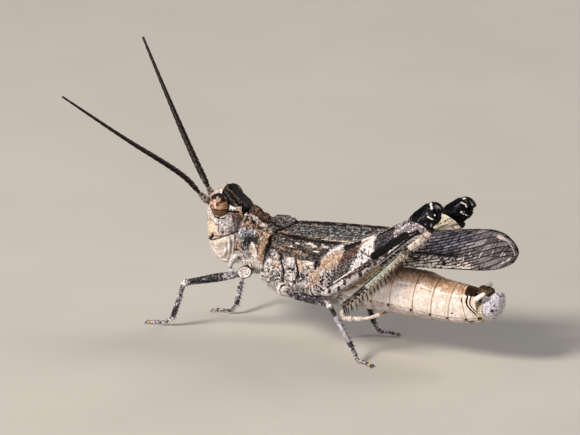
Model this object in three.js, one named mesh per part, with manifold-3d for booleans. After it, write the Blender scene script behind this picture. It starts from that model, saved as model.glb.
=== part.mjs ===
// A male longhorn band-winged grasshopper at life size, standing on its fore and mid legs
// with the hind legs folded and raised. Millimetres, +Z up, head towards -X, left side towards -Y.
import * as THREE from "three";
import { mergeVertices } from "three/addons/utils/BufferGeometryUtils.js";
import Module from "manifold-3d";

const wasm = await Module();
wasm.setup();

// ---- Driving dimensions ----
const FACE_X = -11.92; // front of the face
const WING_TIP_X = 9; // tips of the folded fore wings, about 21 mm behind the face
const GAP = 0.045; // joint left between neighbouring plates
const THIN = 0.5; // least thickness of wings, legs and feelers
const BLUNT = 0.36; // share of a limb's section that is left at its blunt ends
const SMOOTH = 0.016; // cut surfaces may move by this much as their slivers are cleared
const EYE = { x: -10.66, y: 1.03, z: 8.17, long: 0.57, wide: 0.44, high: 0.73 };
const SCAPE = { x: -11.74, y: 0.46, z: 8.12 };
const MOUTH_Z = 5.55; // height where the face ends and the mouthparts begin, in front
const MOUTH_SLOPE = 0.42; // how much that joint rises for each millimetre towards the neck
const LOBE_Z = 4.52; // lower edge of the side lobes of the pronotum
const THORAX = { front: -7.8, rear: -2.35 };
const ABDOMEN_JOINTS = [-2.3, -1.3, -0.25, 0.85, 2.3, 3.55, 4.75, 5.9, 6.55];
const ABDOMEN_LEAN = 0.13; // how far the joints lean back for each millimetre of height
const FEMUR_LENGTH = 10.45; // of a hind leg, knee lobes included
const HIP = { x: -3.6, y: 2.12, z: 4.1 };

const COLOURS = {
  shell: 0x9c8878,
  dark: 0x2a2523,
  cream: 0xd8cbb4,
  eye: 0x9a6238,
  wing: 0x57504c,
  hindWing: 0xc9c27a,
  belly: 0xe2d2b4,
  leg: 0x8d8288,
  shin: 0xa9bfae,
  feeler: 0x2c2422,
};

// ---- Geometry helpers ----
const point = (x, y, z) => new THREE.Vector3(x, y, z);
const lerp = THREE.MathUtils.lerp;
const clamp = THREE.MathUtils.clamp;

// A smooth function through a few [place, value] knots, which never swings past them.
function through(...knots) {
  const slopes = knots.slice(1).map(([x, v], i) => (v - knots[i][1]) / (x - knots[i][0]));
  const tangents = knots.map((_, i) => {
    const before = slopes[i - 1] ?? slopes[i];
    const after = slopes[i] ?? slopes[i - 1];
    return before * after <= 0 ? 0 : (2 * before * after) / (before + after);
  });
  return (x) => {
    const place = clamp(x, knots[0][0], knots.at(-1)[0]);
    const i = clamp(knots.findIndex(([k]) => k >= place) - 1, 0, knots.length - 2);
    const [x0, v0] = knots[i];
    const [x1, v1] = knots[i + 1];
    const w = x1 - x0;
    const t = (place - x0) / w;
    const rise = t * t * (3 - 2 * t);
    const early = t * (1 - t) * (1 - t) * w * tangents[i];
    const late = t * t * (1 - t) * w * tangents[i + 1];
    return lerp(v0, v1, rise) + early - late;
  };
}

// Evenly spaced values from a to b, ends included.
const span = (a, b, steps) => Array.from({ length: steps + 1 }, (_, i) => lerp(a, b, i / steps));

// One closed surface over rings of equal count, with a fan over each end.
function closedLoft(rings) {
  const count = rings[0].length;
  const vertices = rings.flat();
  const index = [];
  for (let i = 0; i + 1 < rings.length; i++) {
    for (let k = 0; k < count; k++) {
      const a = i * count + k;
      const b = i * count + ((k + 1) % count);
      index.push(a, b, b + count, a, b + count, a + count);
    }
  }
  for (const last of [false, true]) {
    const start = last ? (rings.length - 1) * count : 0;
    const ring = last ? rings.at(-1) : rings[0];
    const middle = vertices.length;
    vertices.push(ring.reduce((sum, p) => sum.add(p), point(0, 0, 0)).divideScalar(count));
    for (let k = 0; k < count; k++) {
      const a = start + k;
      const b = start + ((k + 1) % count);
      index.push(...(last ? [a, b, middle] : [b, a, middle]));
    }
  }
  const geometry = new THREE.BufferGeometry().setFromPoints(vertices).setIndex(index);
  return facingOut(geometry);
}

// The same closed geometry with its faces turned outwards.
function facingOut(geometry) {
  const p = geometry.getAttribute("position");
  const index = geometry.getIndex();
  const [a, b, c] = [point(0, 0, 0), point(0, 0, 0), point(0, 0, 0)];
  let volume = 0;
  for (let i = 0; i < index.count; i += 3) {
    a.fromBufferAttribute(p, index.getX(i));
    b.fromBufferAttribute(p, index.getX(i + 1));
    c.fromBufferAttribute(p, index.getX(i + 2));
    volume += a.dot(b.cross(c));
  }
  if (volume < 0) {
    for (let i = 0; i < index.count; i += 3) {
      const swap = index.getX(i + 1);
      index.setX(i + 1, index.getX(i + 2));
      index.setX(i + 2, swap);
    }
  }
  return geometry;
}

// A superellipse round a centre: side and up are half-axes, and power 2 is a plain ellipse.
function oval(centre, side, up, count, power = 2) {
  const bend = (v) => Math.sign(v) * Math.abs(v) ** (2 / power);
  return span(0, 2 * Math.PI, count)
    .slice(0, count)
    .map((angle) =>
      centre
        .clone()
        .addScaledVector(side, bend(Math.cos(angle)))
        .addScaledVector(up, bend(Math.sin(angle))),
    );
}

// A limb along a smooth path. wide and deep give half-sizes from 0 at its root to 1 at its end.
function limb({ path, wide, deep = wide, sides = 8, steps = 8, up = point(0, 0, 1) }) {
  const curve = new THREE.CatmullRomCurve3(path, false, "centripetal");
  const rings = span(0, 1, steps).map((t) => {
    const along = curve.getTangentAt(t);
    const side = along.clone().cross(up).normalize();
    const rise = side.clone().cross(along).normalize();
    return oval(curve.getPointAt(t), side.multiplyScalar(wide(t)), rise.multiplyScalar(deep(t)), sides);
  });
  return closedLoft(rings);
}

// Half-size of a limb with rounded ends: swell is its size away from the ends.
const rounded = (swell, end = 0.12) => (t) =>
  swell(t) * Math.sqrt(Math.max(BLUNT, 1 - Math.max(0, 1 - t / end, 1 - (1 - t) / end) ** 2));

// A manifold solid from a three.js geometry.
function solidOf(geometry) {
  const bare = geometry.clone();
  bare.deleteAttribute("normal");
  bare.deleteAttribute("uv");
  const merged = mergeVertices(bare, 1e-4);
  return new wasm.Manifold(
    new wasm.Mesh({
      numProp: 3,
      vertProperties: merged.getAttribute("position").array,
      triVerts: new Uint32Array(merged.getIndex().array),
    }),
  );
}

// The three.js geometry of a manifold solid.
function geometryOf(solid) {
  const mesh = solid.getMesh();
  const vertices = [];
  for (let i = 0; i < mesh.numVert; i++) {
    const at = i * mesh.numProp;
    vertices.push(point(...mesh.vertProperties.subarray(at, at + 3)));
  }
  return new THREE.BufferGeometry().setFromPoints(vertices).setIndex([...mesh.triVerts]);
}

// The solid with its surface moved outwards by the joint gap, used to cut room for it.
function grown(solid) {
  const geometry = geometryOf(solid);
  geometry.computeVertexNormals();
  const p = geometry.getAttribute("position");
  const n = geometry.getAttribute("normal");
  for (let i = 0; i < p.count; i++) {
    p.setXYZ(i, p.getX(i) + GAP * n.getX(i), p.getY(i) + GAP * n.getY(i), p.getZ(i) + GAP * n.getZ(i));
  }
  geometry.deleteAttribute("normal");
  return solidOf(geometry);
}

// The biggest single body of a cut solid, with cut slivers smoothed away.
function mainBody(solid) {
  const bodies = solid.decompose();
  const biggest = bodies.reduce((best, body) => (body.volume() > best.volume() ? body : best));
  return biggest.simplify(SMOOTH);
}

// A box between two corners, for cutting.
function block(low, high) {
  const size = high.clone().sub(low);
  const box = new THREE.BoxGeometry(size.x, size.y, size.z);
  box.translate(...low.clone().add(high).divideScalar(2));
  return solidOf(box);
}

// ---- The assembly ----
const root = new THREE.Group();
const solids = new Map();

// Adds one named piece, cut clear of the named neighbours that are already in place.
function add(name, solid, colour, neighbours = [], roughness = 0.6) {
  let piece = solid;
  for (const other of neighbours) {
    piece = piece.subtract(grown(solids.get(other)));
  }
  piece = mainBody(piece);
  solids.set(name, piece);
  const material = new THREE.MeshStandardMaterial({ color: colour, roughness, metalness: 0 });
  const mesh = new THREE.Mesh(geometryOf(piece), material);
  mesh.name = name;
  root.add(mesh);
}

const SIDES = { left: -1, right: 1 };

// Calls make(side name, sign of Y) for the left and the right.
function onBothSides(make) {
  for (const [side, sign] of Object.entries(SIDES)) {
    make(side, sign);
  }
}

// ---- Head ----
const HEAD = {
  front: through([4.12, -10.5], [4.25, -10.74], [4.56, -11.1], [4.92, -11.36], [5.49, -11.57], [6.2, -11.7],
    [7, -11.76], [7.9, FACE_X + 0.12], [8.3, -11.7], [8.6, -11.44], [8.9, -11.05], [9.16, -10.75]),
  back: through([4.12, -10.15], [4.4, -9.85], [5, -9.52], [5.8, -9.44], [6.6, -9.4], [7.3, -9.12],
    [7.9, -8.94], [8.2, -9.08], [8.44, -9.34], [8.64, -9.58], [8.9, -9.92], [9.16, -10.32]),
  half: through([4.12, 0.3], [4.3, 0.62], [4.7, 0.95], [5.3, 1.2], [6, 1.33], [6.8, 1.32], [7.5, 1.2],
    [8.1, 1.02], [8.6, 0.74], [8.9, 0.48], [9.16, 0.2]),
};

function headCapsule() {
  const levels = [4.12, 4.3, 4.7, 5.2, 5.8, 6.5, 7.2, 7.8, 8.2, 8.5, 8.86, 9.16];
  const rings = levels.map((z) => {
    const front = HEAD.front(z);
    const back = HEAD.back(z);
    const centre = point((front + back) / 2, 0, z);
    return oval(centre, point((back - front) / 2, 0, 0), point(0, HEAD.half(z), 0), 16, 2.15);
  });
  return solidOf(closedLoft(rings));
}

// The ridge down the middle of the face, from the crown to the mouth.
function faceRidge() {
  const path = [point(-10.55, 0, 9), point(-11.2, 0, 8.66), point(-11.68, 0, 8.1), point(-11.64, 0, 6.8),
    point(-11.5, 0, MOUTH_Z + 0.1)];
  const wide = through([0, 0.16], [0.3, 0.3], [0.45, 0.16], [0.7, 0.24], [1, 0.3]);
  return solidOf(limb({ path, wide, deep: () => 0.16, sides: 8, steps: 10, up: point(0, 1, 0.01) }));
}

function makeHead() {
  onBothSides((side, sign) => {
    const ball = new THREE.SphereGeometry(1, 12, 8);
    ball.scale(EYE.long, EYE.wide, EYE.high);
    ball.rotateY(-0.12);
    ball.translate(EYE.x, sign * EYE.y, EYE.z);
    add(`eye_${side}`, solidOf(ball), COLOURS.eye, [], 0.25);
    const scapePath = [point(SCAPE.x, sign * SCAPE.y, SCAPE.z), point(-12.02, sign * 0.54, 8.35),
      point(-12.22, sign * 0.62, 8.58)];
    const scape = limb({ path: scapePath, wide: rounded(() => THIN / 2, 0.3), sides: 8, steps: 4 });
    add(`antenna_base_${side}`, solidOf(scape), COLOURS.cream);
  });
  const whole = headCapsule().add(faceRidge());
  const beside = ["eye_left", "eye_right", "antenna_base_left", "antenna_base_right"];
  const below = wedge(MOUTH_Z, GAP / 2);
  add("head", whole.subtract(below), COLOURS.shell, beside);
  mouthparts(whole);
}

// All that lies under the slanted joint between the face and the mouthparts.
function wedge(level, lift) {
  const outline = new THREE.Shape();
  const [front, back] = [FACE_X - 1, FACE_X + 4];
  const height = (x) => level + lift + MOUTH_SLOPE * (x - FACE_X);
  outline.moveTo(front, 0);
  outline.lineTo(back, 0);
  outline.lineTo(back, height(back));
  outline.lineTo(front, height(front));
  const solid = new THREE.ExtrudeGeometry(outline, { depth: 4, bevelEnabled: false });
  solid.rotateX(Math.PI / 2);
  solid.translate(0, 2, 0);
  return solidOf(solid);
}

// Clypeus and labrum in front, the labium behind and a broad mandible on each side.
function mouthparts(whole) {
  const lower = whole.intersect(wedge(MOUTH_Z, -GAP / 2));
  const [far, deep, half] = [FACE_X - 1, -10.95, 0.52];
  const lipZ = 5.02;
  const labium = { x: -10, half: 0.74, top: 5.7 };
  add("clypeus", lower.intersect(block(point(far, -half, lipZ), point(deep, half, 7))), COLOURS.shell);
  add("labrum", lower.intersect(block(point(far, -half, 4), point(deep, half, lipZ - GAP))), COLOURS.cream);
  const behind = block(point(labium.x, -labium.half, 4), point(-8, labium.half, labium.top));
  add("labium", lower.intersect(behind), COLOURS.cream);
  onBothSides((side, sign) => {
    const room = block(point(far, Math.min(sign * 0.03, sign * 2), 4),
      point(-8, Math.max(sign * 0.03, sign * 2), 8));
    const beside = ["clypeus", "labrum", "labium"];
    add(`mandible_${side}`, lower.intersect(room), COLOURS.cream, beside, 0.35);
  });
  onBothSides((side, sign) => {
    const path = [point(-9.7, sign * 0.9, 4.98), point(-9.86, sign * 0.9, 4.6), point(-9.97, sign * 0.86, 4.25),
      point(-10, sign * 0.8, 3.9)];
    const palp = limb({ path, wide: rounded(() => THIN / 2, 0.2), sides: 6, steps: 5 });
    add(`palp_${side}`, solidOf(palp), COLOURS.cream, ["labium", `mandible_${side}`]);
  });
}

// ---- Feelers: long, nearly straight and a little flattened near the root ----
function makeFeelers() {
  const paths = {
    left: [point(-12.22, -0.62, 8.6), point(-13.06, -1, 9.62), point(-16.04, -3.4, 12.48), point(-19, -5.85, 15.45)],
    right: [point(-12.22, 0.62, 8.6), point(-13.5, 1.35, 10.05), point(-16.6, 3.75, 13.2), point(-19.2, 5.9, 15.8)],
  };
  onBothSides((side) => {
    const wide = rounded(() => THIN / 2, 0.02);
    const feeler = limb({ path: paths[side], wide, sides: 6, steps: 9 });
    add(`antenna_${side}`, solidOf(feeler), COLOURS.feeler, [`antenna_base_${side}`]);
  });
}

// ---- Pronotum: a saddle with a notched crest, two side ridges and hanging side lobes ----
// q runs from 0 on the crest to 1 at the lower edge of a lobe, u from 0 at the front to 1 at the back.
const PRONOTUM = {
  front: through([0, -9.02], [0.4, -9.12], [0.5, -9.14], [0.58, -9.22], [0.7, -9.38], [0.76, -9.4], [0.89, -9.22],
    [1, -8.72]),
  back: through([0, -5.9], [0.3, -6.2], [0.4, -6.5], [0.54, -6.82], [0.67, -7.13], [0.8, -7.46], [0.93, -7.6],
    [1, -7.7]),
  crest: through([0, 7.95], [0.08, 8.03], [0.16, 7.95], [0.23, 7.8], [0.27, 7.56], [0.32, 7.64], [0.4, 7.54],
    [0.45, 7.34], [0.6, 7.6], [0.8, 7.66], [1, 7.5]),
  roof: through([0, 7.84], [0.2, 7.64], [0.45, 7.3], [0.65, 7.48], [1, 7.4]),
  ridgeY: through([0, 0.66], [0.45, 0.7], [0.7, 1], [1, 1.35]),
  ridgeZ: through([0, 7.62], [0.45, 7.12], [0.7, 7.08], [1, 7.02]),
  flankY: through([0, 1.42], [0.5, 1.6], [1, 1.72]),
};

function pronotumPoint(u, q) {
  const a = Math.abs(q);
  const x = lerp(PRONOTUM.front(a), PRONOTUM.back(a), u);
  const [roof, crest] = [PRONOTUM.roof(u), PRONOTUM.crest(u)];
  const [ridgeY, ridgeZ, flankY] = [PRONOTUM.ridgeY(u), PRONOTUM.ridgeZ(u), PRONOTUM.flankY(u)];
  const y = through([0, 0], [0.06, 0.1], [0.4, ridgeY], [0.46, ridgeY + 0.06],
    [0.56, lerp(ridgeY, flankY, 0.66)], [0.72, flankY], [1, 1.32])(a);
  const z = through([0, crest], [0.06, roof], [0.33, ridgeZ - 0.02], [0.4, ridgeZ], [0.46, ridgeZ - 0.12],
    [0.56, 6.76], [0.72, 6], [1, LOBE_Z])(a);
  return point(x, Math.sign(q) * y, z);
}

function makePronotum() {
  const mouth = ["labium", "mandible_left", "mandible_right"];
  const stops = [0, 0.06, 0.25, 0.4, 0.47, 0.58, 0.74, 0.88, 1];
  const across = [...stops.slice(1).reverse().map((q) => -q), ...stops];
  const lengthwise = [0, 0.08, 0.22, 0.27, 0.33, 0.4, 0.45, 0.6, 0.8, 1];
  const rings = lengthwise.map((u) => across.map((q) => pronotumPoint(u, q)));
  add("pronotum", solidOf(closedLoft(rings)), COLOURS.shell, ["head", ...mouth], 0.7);
  const levels = [-9.3, -9.1, -8.6, -8.1, -7.9];
  const low = through([-9.3, 4.3], [-9, 3.96], [-8.4, 3.8], [-7.9, 3.92]);
  const prosternum = levels.map((x) => {
    const centre = point(x, 0, (low(x) + LOBE_Z - GAP) / 2);
    return oval(centre, point(0, 0.95, 0), point(0, 0, (LOBE_Z - GAP - low(x)) / 2), 12, 2.6);
  });
  add("prosternum", solidOf(closedLoft(prosternum)), COLOURS.shell, ["pronotum", ...mouth], 0.7);
}

// ---- Fore wings: a flat back field, a rounded shoulder and a hanging side field ----
const WING = {
  top: through([-7, 7.2], [-5.8, 7.37], [-3.7, 7.58], [-1.6, 7.74], [1, 7.92], [3, 8.18], [5, 8.48], [6.8, 8.7],
    [7.8, 8.6], [8.4, 8.36], [8.75, 8.1], [8.93, 7.88], [WING_TIP_X, 7.66]),
  low: through([-7, 6.1], [-6, 5.72], [-4, 5.62], [-1, 5.82], [2, 6.02], [4.2, 6.14], [5.5, 6.24], [6.9, 6.46],
    [7.9, 6.74], [8.5, 7.02], [8.85, 7.3], [WING_TIP_X, 7.56]),
  half: through([-7, 1.36], [-5, 1.46], [-3, 1.44], [-1, 1.32], [2, 1.06], [4.5, 0.8], [7, 0.6], [8.6, THIN],
    [WING_TIP_X, 0.45]),
  power: through([-7, 5], [0, 4.2], [4, 3], [WING_TIP_X, 2.6]),
  slope: through([-7, 0.36], [-2, 0.34], [3, 0.2], [WING_TIP_X, 0]),
};

// A point on the outside of a fore wing: s is 0 at the middle line and 1 at the lower edge.
function wingPoint(x, s) {
  const bend = 2 / WING.power(x);
  const angle = (s * Math.PI) / 2;
  const outward = Math.sin(angle) ** bend;
  const [top, low] = [WING.top(x), WING.low(x)];
  const drop = WING.slope(x) * outward;
  return [outward * WING.half(x), low + (top - low) * Math.cos(angle) ** bend - drop * (1 - s)];
}

function wingSection(x, sign) {
  const inset = GAP / 2;
  const outer = span(0, 1, 7).map((s) => wingPoint(x, s));
  const [innerHalf, innerTop] = [WING.half(x) - THIN, WING.top(x) - THIN];
  const inner = span(1, 0, 4).map((s) => {
    const [y, z] = wingPoint(x, s);
    const shrink = Math.max(0, innerHalf) / WING.half(x);
    const low = WING.low(x);
    const flatten = Math.max(0.02, (innerTop - low) / (WING.top(x) - low));
    return [y * shrink, low + (z - low) * flatten];
  });
  return [...outer, ...inner].map(([y, z]) => point(x, sign * (y + inset), z));
}

function makeWings() {
  const places = [-7, -6.2, -5, -3.5, -2, -0.5, 1, 2.5, 4, 5.2, 6.4, 7.2, 7.9, 8.4, 8.75, 8.93, WING_TIP_X];
  onBothSides((side, sign) => {
    const shell = closedLoft(places.map((x) => wingSection(x, sign)));
    add(`tegmen_${side}`, solidOf(shell), COLOURS.wing, ["pronotum"]);
  });
}

// The hind wings lie folded like fans inside the roof of the fore wings.
function makeHindWings() {
  const reach = { front: -4.9, back: 5.8 };
  const fold = [0.55, 0.9, 1, 1, 1, 0.95, 0.85, 0.7, 0.45];
  onBothSides((side, sign) => {
    const rings = span(reach.front, reach.back, 8).map((x, i) => {
      const taper = fold[i];
      const ceiling = WING.top(x) - THIN - 0.12;
      const half = Math.max(0.26, taper * ((WING.half(x) - THIN - 0.1) / 2));
      const floor = ceiling - Math.max(THIN, taper * Math.min(1, ceiling - WING.low(x) - 0.3));
      const centre = point(x, sign * (half + 0.05), (ceiling + floor) / 2);
      return oval(centre, point(0, half, 0), point(0, 0, (ceiling - floor) / 2), 8, 2.6);
    });
    add(`hindwing_${side}`, solidOf(closedLoft(rings)), COLOURS.hindWing, [`tegmen_${side}`, "pronotum"]);
  });
}

// ---- Thorax and abdomen ----
const TRUNK = {
  top: through([-7.8, 6.1], [-6, 6.45], [-4, 6.2], [-2.3, 5.6], [0, 5.5], [2.6, 5.5], [3.7, 5.2], [5, 5.04],
    [6.2, 4.98], [7, 4.8]),
  low: through([-7.8, 3.75], [-7.2, 3.42], [-6, 3.15], [-4.5, 2.95], [-3.2, 2.85], [-2, 2.7], [-0.7, 2.6], [2, 2.55],
    [4.5, 2.55], [5.8, 2.66], [6.7, 2.92], [7, 3.1]),
  half: through([-7.8, 1.38], [-7, 1.52], [-5.5, 1.62], [-4, 1.58], [-2.6, 1.32], [-1.2, 1.2], [2, 1.2], [4.5, 1.08],
    [6, 0.94], [7, 0.78]),
};

// A section across the trunk, leaning back by lean for each millimetre of height.
function trunkRing(x, count, power, lean = 0, grow = 1) {
  const [top, low] = [TRUNK.top(x), TRUNK.low(x)];
  const middle = (top + low) / 2;
  const side = point(0, TRUNK.half(x) * grow, 0);
  const up = point((lean * (top - low)) / 2, 0, ((top - low) / 2) * grow);
  return oval(point(x, 0, middle), side, up, count, power);
}

function makeThorax() {
  const rings = span(THORAX.front, THORAX.rear, 6).map((x) => trunkRing(x, 18, 2.7));
  const beside = ["pronotum", "prosternum", "tegmen_left", "tegmen_right", "hindwing_left", "hindwing_right"];
  add("pterothorax", solidOf(closedLoft(rings)), COLOURS.shell, beside, 0.75);
}

function makeAbdomen() {
  ABDOMEN_JOINTS.slice(1).forEach((back, i) => {
    const front = ABDOMEN_JOINTS[i] + GAP;
    const places = [front, lerp(front, back, 0.7), back];
    const swell = [0.975, 1, 1];
    const lean = i === 0 ? 0 : ABDOMEN_LEAN;
    const rings = places.map((x, k) => trunkRing(x, 14, 2.2, k === 0 && i < 2 ? 0 : lean, swell[k]));
    add(`abdomen_${i + 1}`, solidOf(closedLoft(rings)), COLOURS.belly, ["hindwing_left", "hindwing_right"], 0.5);
  });
  makeTail();
}

// The end of the abdomen: a dark plate above, a cercus on each side and an upturned plate below.
function makeTail() {
  const tailX = 6.62;
  const stations = span(0, 1, 5);
  const bottom = through([0, 2.98], [0.35, 3.1], [0.7, 3.5], [1, 4.1]);
  const top = through([0, 3.95], [0.4, 4.5], [0.75, 4.88], [1, 4.7]);
  const reach = through([0, tailX], [0.5, 7.36], [0.85, 7.84], [1, 7.98]);
  const half = through([0, 0.82], [0.5, 0.7], [0.85, 0.5], [1, 0.28]);
  const plate = stations.map((t) => {
    const centre = point(reach(t), 0, (bottom(t) + top(t)) / 2);
    return oval(centre, point(0, half(t), 0), point(-0.25 * (1 - t), 0, (top(t) - bottom(t)) / 2), 14, 2.2);
  });
  const lastRing = `abdomen_${ABDOMEN_JOINTS.length - 1}`;
  add("subgenital_plate", solidOf(closedLoft(plate)), COLOURS.shell, [lastRing], 0.6);
  const lid = limb({
    path: [point(6.66, 0, 4.72), point(6.95, 0, 4.74), point(7.3, 0, 4.66)],
    wide: rounded(through([0, 0.62], [0.5, 0.5], [1, 0.25]), 0.25),
    deep: rounded(() => THIN / 2, 0.25),
    sides: 10,
    steps: 5,
  });
  add("epiproct", solidOf(lid), COLOURS.dark, [lastRing, "subgenital_plate"], 0.5);
  onBothSides((side, sign) => {
    const path = [point(6.7, sign * 0.78, 4.42), point(7, sign * 0.86, 4.6), point(7.3, sign * 0.82, 4.82)];
    const cercus = limb({ path, wide: rounded(through([0, 0.26], [1, 0.2]), 0.3), sides: 8, steps: 5 });
    const beside = [lastRing, "subgenital_plate", "epiproct"];
    add(`cercus_${side}`, solidOf(cercus), COLOURS.cream, beside);
  });
}

// ---- Walking legs ----
// Each leg is a chain of places: hip, end of the coxa, knee, ankle, sole and toe.
const WALKING_LEGS = {
  fore_left: { hip: [-8.5, -0.95, 4.25], coxa: [-9.25, -1.18, 3.92], knee: [-12.77, -1.72, 3.0],
    ankle: [-13.58, -1.66, 0.62], sole: [-14.05, -1.68, 0.2], toe: [-15.05, -1.78, 0.18] },
  fore_right: { hip: [-8.5, 0.95, 4.25], coxa: [-9.2, 1.22, 3.9], knee: [-11.05, 3.3, 2.62],
    ankle: [-10.98, 2.02, 0.62], sole: [-11.32, 1.95, 0.2], toe: [-12.3, 1.9, 0.18] },
  mid_left: { hip: [-6.05, -1.05, 3.45], coxa: [-5.75, -1.75, 3.42], knee: [-2.65, -2.28, 3.25],
    ankle: [-0.86, -2.84, 0.92], sole: [-0.42, -2.98, 0.24], toe: [0.42, -3.2, 0.18] },
  mid_right: { hip: [-6.05, 1.05, 3.45], coxa: [-5.75, 1.75, 3.42], knee: [-2.62, 2.32, 3.2],
    ankle: [-1.72, 2.32, 0.66], sole: [-1.35, 2.36, 0.22], toe: [-0.4, 2.5, 0.18] },
};

const between = (a, b, t) => a.clone().lerp(b, t);

function makeWalkingLeg(name, places) {
  const at = Object.fromEntries(Object.entries(places).map(([k, v]) => [k, point(...v)]));
  const floorCut = block(point(-20, -6, -2), point(4, 6, 0));
  const coxa = limb({
    path: [at.hip, between(at.hip, at.coxa, 0.5), at.coxa],
    wide: rounded(through([0, 0.4], [0.5, 0.42], [1, 0.3]), 0.35),
    steps: 5,
  });
  const trunk = name.startsWith("fore") ? ["prosternum", "pronotum", "labium", "mandible_left", "mandible_right"] : ["pterothorax"];
  add(`coxa_${name}`, solidOf(coxa), COLOURS.shell, trunk);
  const thigh = limb({
    path: [at.coxa, between(at.coxa, at.knee, 0.5), at.knee],
    wide: rounded(through([0, 0.27], [0.5, 0.28], [0.85, 0.25], [1, 0.27]), 0.1),
    deep: rounded(through([0, 0.29], [0.4, 0.31], [0.85, 0.25], [1, 0.27]), 0.1),
    sides: 7,
    steps: 6,
  });
  add(`femur_${name}`, solidOf(thigh), COLOURS.leg, [`coxa_${name}`, ...trunk]);
  const shin = limb({
    path: [at.knee, between(at.knee, at.ankle, 0.5), at.ankle],
    wide: rounded(() => THIN / 2, 0.1),
    sides: 6,
    steps: 5,
    up: point(1, 0, 0.2),
  });
  add(`tibia_${name}`, solidOf(shin), COLOURS.leg, [`femur_${name}`]);
  const foot = limb({
    path: [at.ankle, at.sole, between(at.sole, at.toe, 0.5), at.toe],
    wide: rounded(() => THIN / 2, 0.12),
    deep: rounded(() => THIN / 2, 0.12),
    sides: 6,
    steps: 7,
  });
  add(`tarsus_${name}`, solidOf(foot).subtract(floorCut), COLOURS.leg, [`tibia_${name}`]);
}

// ---- Hind legs ----
// A thigh is drawn flat: s runs from the hip to the knee and h across it, up from its axis.
const THIGH = {
  upper: through([0, 0.42], [0.7, 0.98], [1.9, 1.44], [2.8, 1.46], [4.35, 1.1], [5.6, 0.82], [7, 0.7], [8.3, 0.76],
    [9, 0.96], [9.8, 0.78], [10.2, 0.5], [FEMUR_LENGTH, 0.12]),
  lower: through([0, -0.42], [0.6, -0.8], [2.2, -0.92], [4.4, -0.78], [6.7, -0.62], [8, -0.58], [9, -0.8], [9.7, -0.88],
    [10.2, -0.55], [FEMUR_LENGTH, -0.12]),
  half: through([0, 0.36], [0.8, 0.56], [2.2, 0.62], [4.4, 0.5], [7, 0.33], [8.4, 0.33], [9.4, 0.42],
    [FEMUR_LENGTH, 0.3]),
};
const HIND_LEGS = {
  left: { sign: -1, hip: [HIP.x, -HIP.y, HIP.z], knee: [3.9, -2.25, 9.85] },
  right: { sign: 1, hip: [HIP.x - 0.1, HIP.y, HIP.z - 0.05], knee: [4.3, 1.62, 9.1] },
};
const SHIN_PATH = [[9.35, -0.72], [8.3, -0.92], [7, -1], [5.5, -1.24], [3, -1.56], [0.85, -1.8]];
const SOLE_PATH = [[0.72, -1.95], [0.48, -2.3], [1.25, -2.86], [2, -3.22], [2.9, -3.42]];
const SPINE_COUNT = 7;

// Turns the flat drawing of a hind leg into place: (s, h) in its plane, w outwards.
function legPlane({ hip, knee }) {
  const start = point(...hip);
  const along = point(...knee).sub(start).normalize();
  const out = point(0, 1, 0).addScaledVector(along, -along.y).normalize();
  const up = along.clone().cross(out).negate();
  up.multiplyScalar(Math.sign(up.z));
  return (s, h, w = 0) => start.clone().addScaledVector(along, s).addScaledVector(up, h).addScaledVector(out, w);
}

function thighRing(place, s) {
  const [upper, lower, half] = [THIGH.upper(s), THIGH.lower(s), THIGH.half(s)];
  const middle = (upper + lower) / 2;
  const bend = (v, power) => Math.sign(v) * Math.abs(v) ** power;
  return span(0, 2 * Math.PI, 12)
    .slice(0, 12)
    .map((a) => place(s, middle + ((upper - lower) / 2) * bend(Math.sin(a), 1.1), half * bend(Math.cos(a), 0.85)));
}

// A spur that stands on the rear of the shin and leans towards the foot.
function spur(root, tip, radius) {
  const axis = tip.clone().sub(root);
  const cone = new THREE.ConeGeometry(radius, axis.length(), 3);
  cone.translate(0, axis.length() / 2, 0);
  const turn = new THREE.Quaternion().setFromUnitVectors(point(0, 1, 0), axis.normalize());
  cone.applyQuaternion(turn);
  cone.translate(...root);
  return solidOf(cone);
}

function makeHindLeg(side, leg) {
  const place = legPlane(leg);
  const shinPath = SHIN_PATH.map(([s, h]) => place(s, h));
  let shin = solidOf(limb({
    path: shinPath,
    wide: rounded(() => THIN / 2, 0.03),
    sides: 7,
    steps: 10,
  }));
  for (let i = 0; i < SPINE_COUNT; i++) {
    const s = lerp(6.1, 1.3, i / (SPINE_COUNT - 1));
    const rear = -1.3 - 0.105 * (6.1 - s);
    shin = shin.add(spur(place(s, rear), place(s - 0.16, rear - 0.52), 0.08));
  }
  const coxaPath = [point(-4.25, leg.sign * 0.95, 3.5), point(-3.95, leg.sign * 1.4, 3.65), place(0.25, 0)];
  const coxa = limb({ path: coxaPath, wide: rounded(through([0, 0.5], [0.6, 0.46], [1, 0.36]), 0.3), steps: 6 });
  const trunk = ["pterothorax", "abdomen_1", "abdomen_2"];
  add(`coxa_hind_${side}`, solidOf(coxa), COLOURS.shell, [...trunk, `femur_mid_${side}`]);
  const lengthwise = [0, 0.35, 1, 1.9, 2.8, 3.8, 5, 6.2, 7.4, 8.3, 8.9, 9.5, 10, 10.3, FEMUR_LENGTH];
  const thigh = solidOf(closedLoft(lengthwise.map((s) => thighRing(place, s))));
  const room = grown(shin);
  const beside = [`coxa_hind_${side}`, ...trunk, "tegmen_left", "tegmen_right", `femur_mid_${side}`];
  add(`femur_hind_${side}`, thigh.subtract(room), COLOURS.leg, beside);
  add(`tibia_hind_${side}`, shin, COLOURS.shin, [...trunk, `femur_hind_${side}`]);
  const foot = limb({
    path: SOLE_PATH.map(([s, h]) => place(s, h)),
    wide: rounded(() => THIN / 2, 0.1),
    sides: 7,
    steps: 8,
  });
  add(`tarsus_hind_${side}`, solidOf(foot), COLOURS.cream, [`tibia_hind_${side}`, ...trunk]);
}

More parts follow.
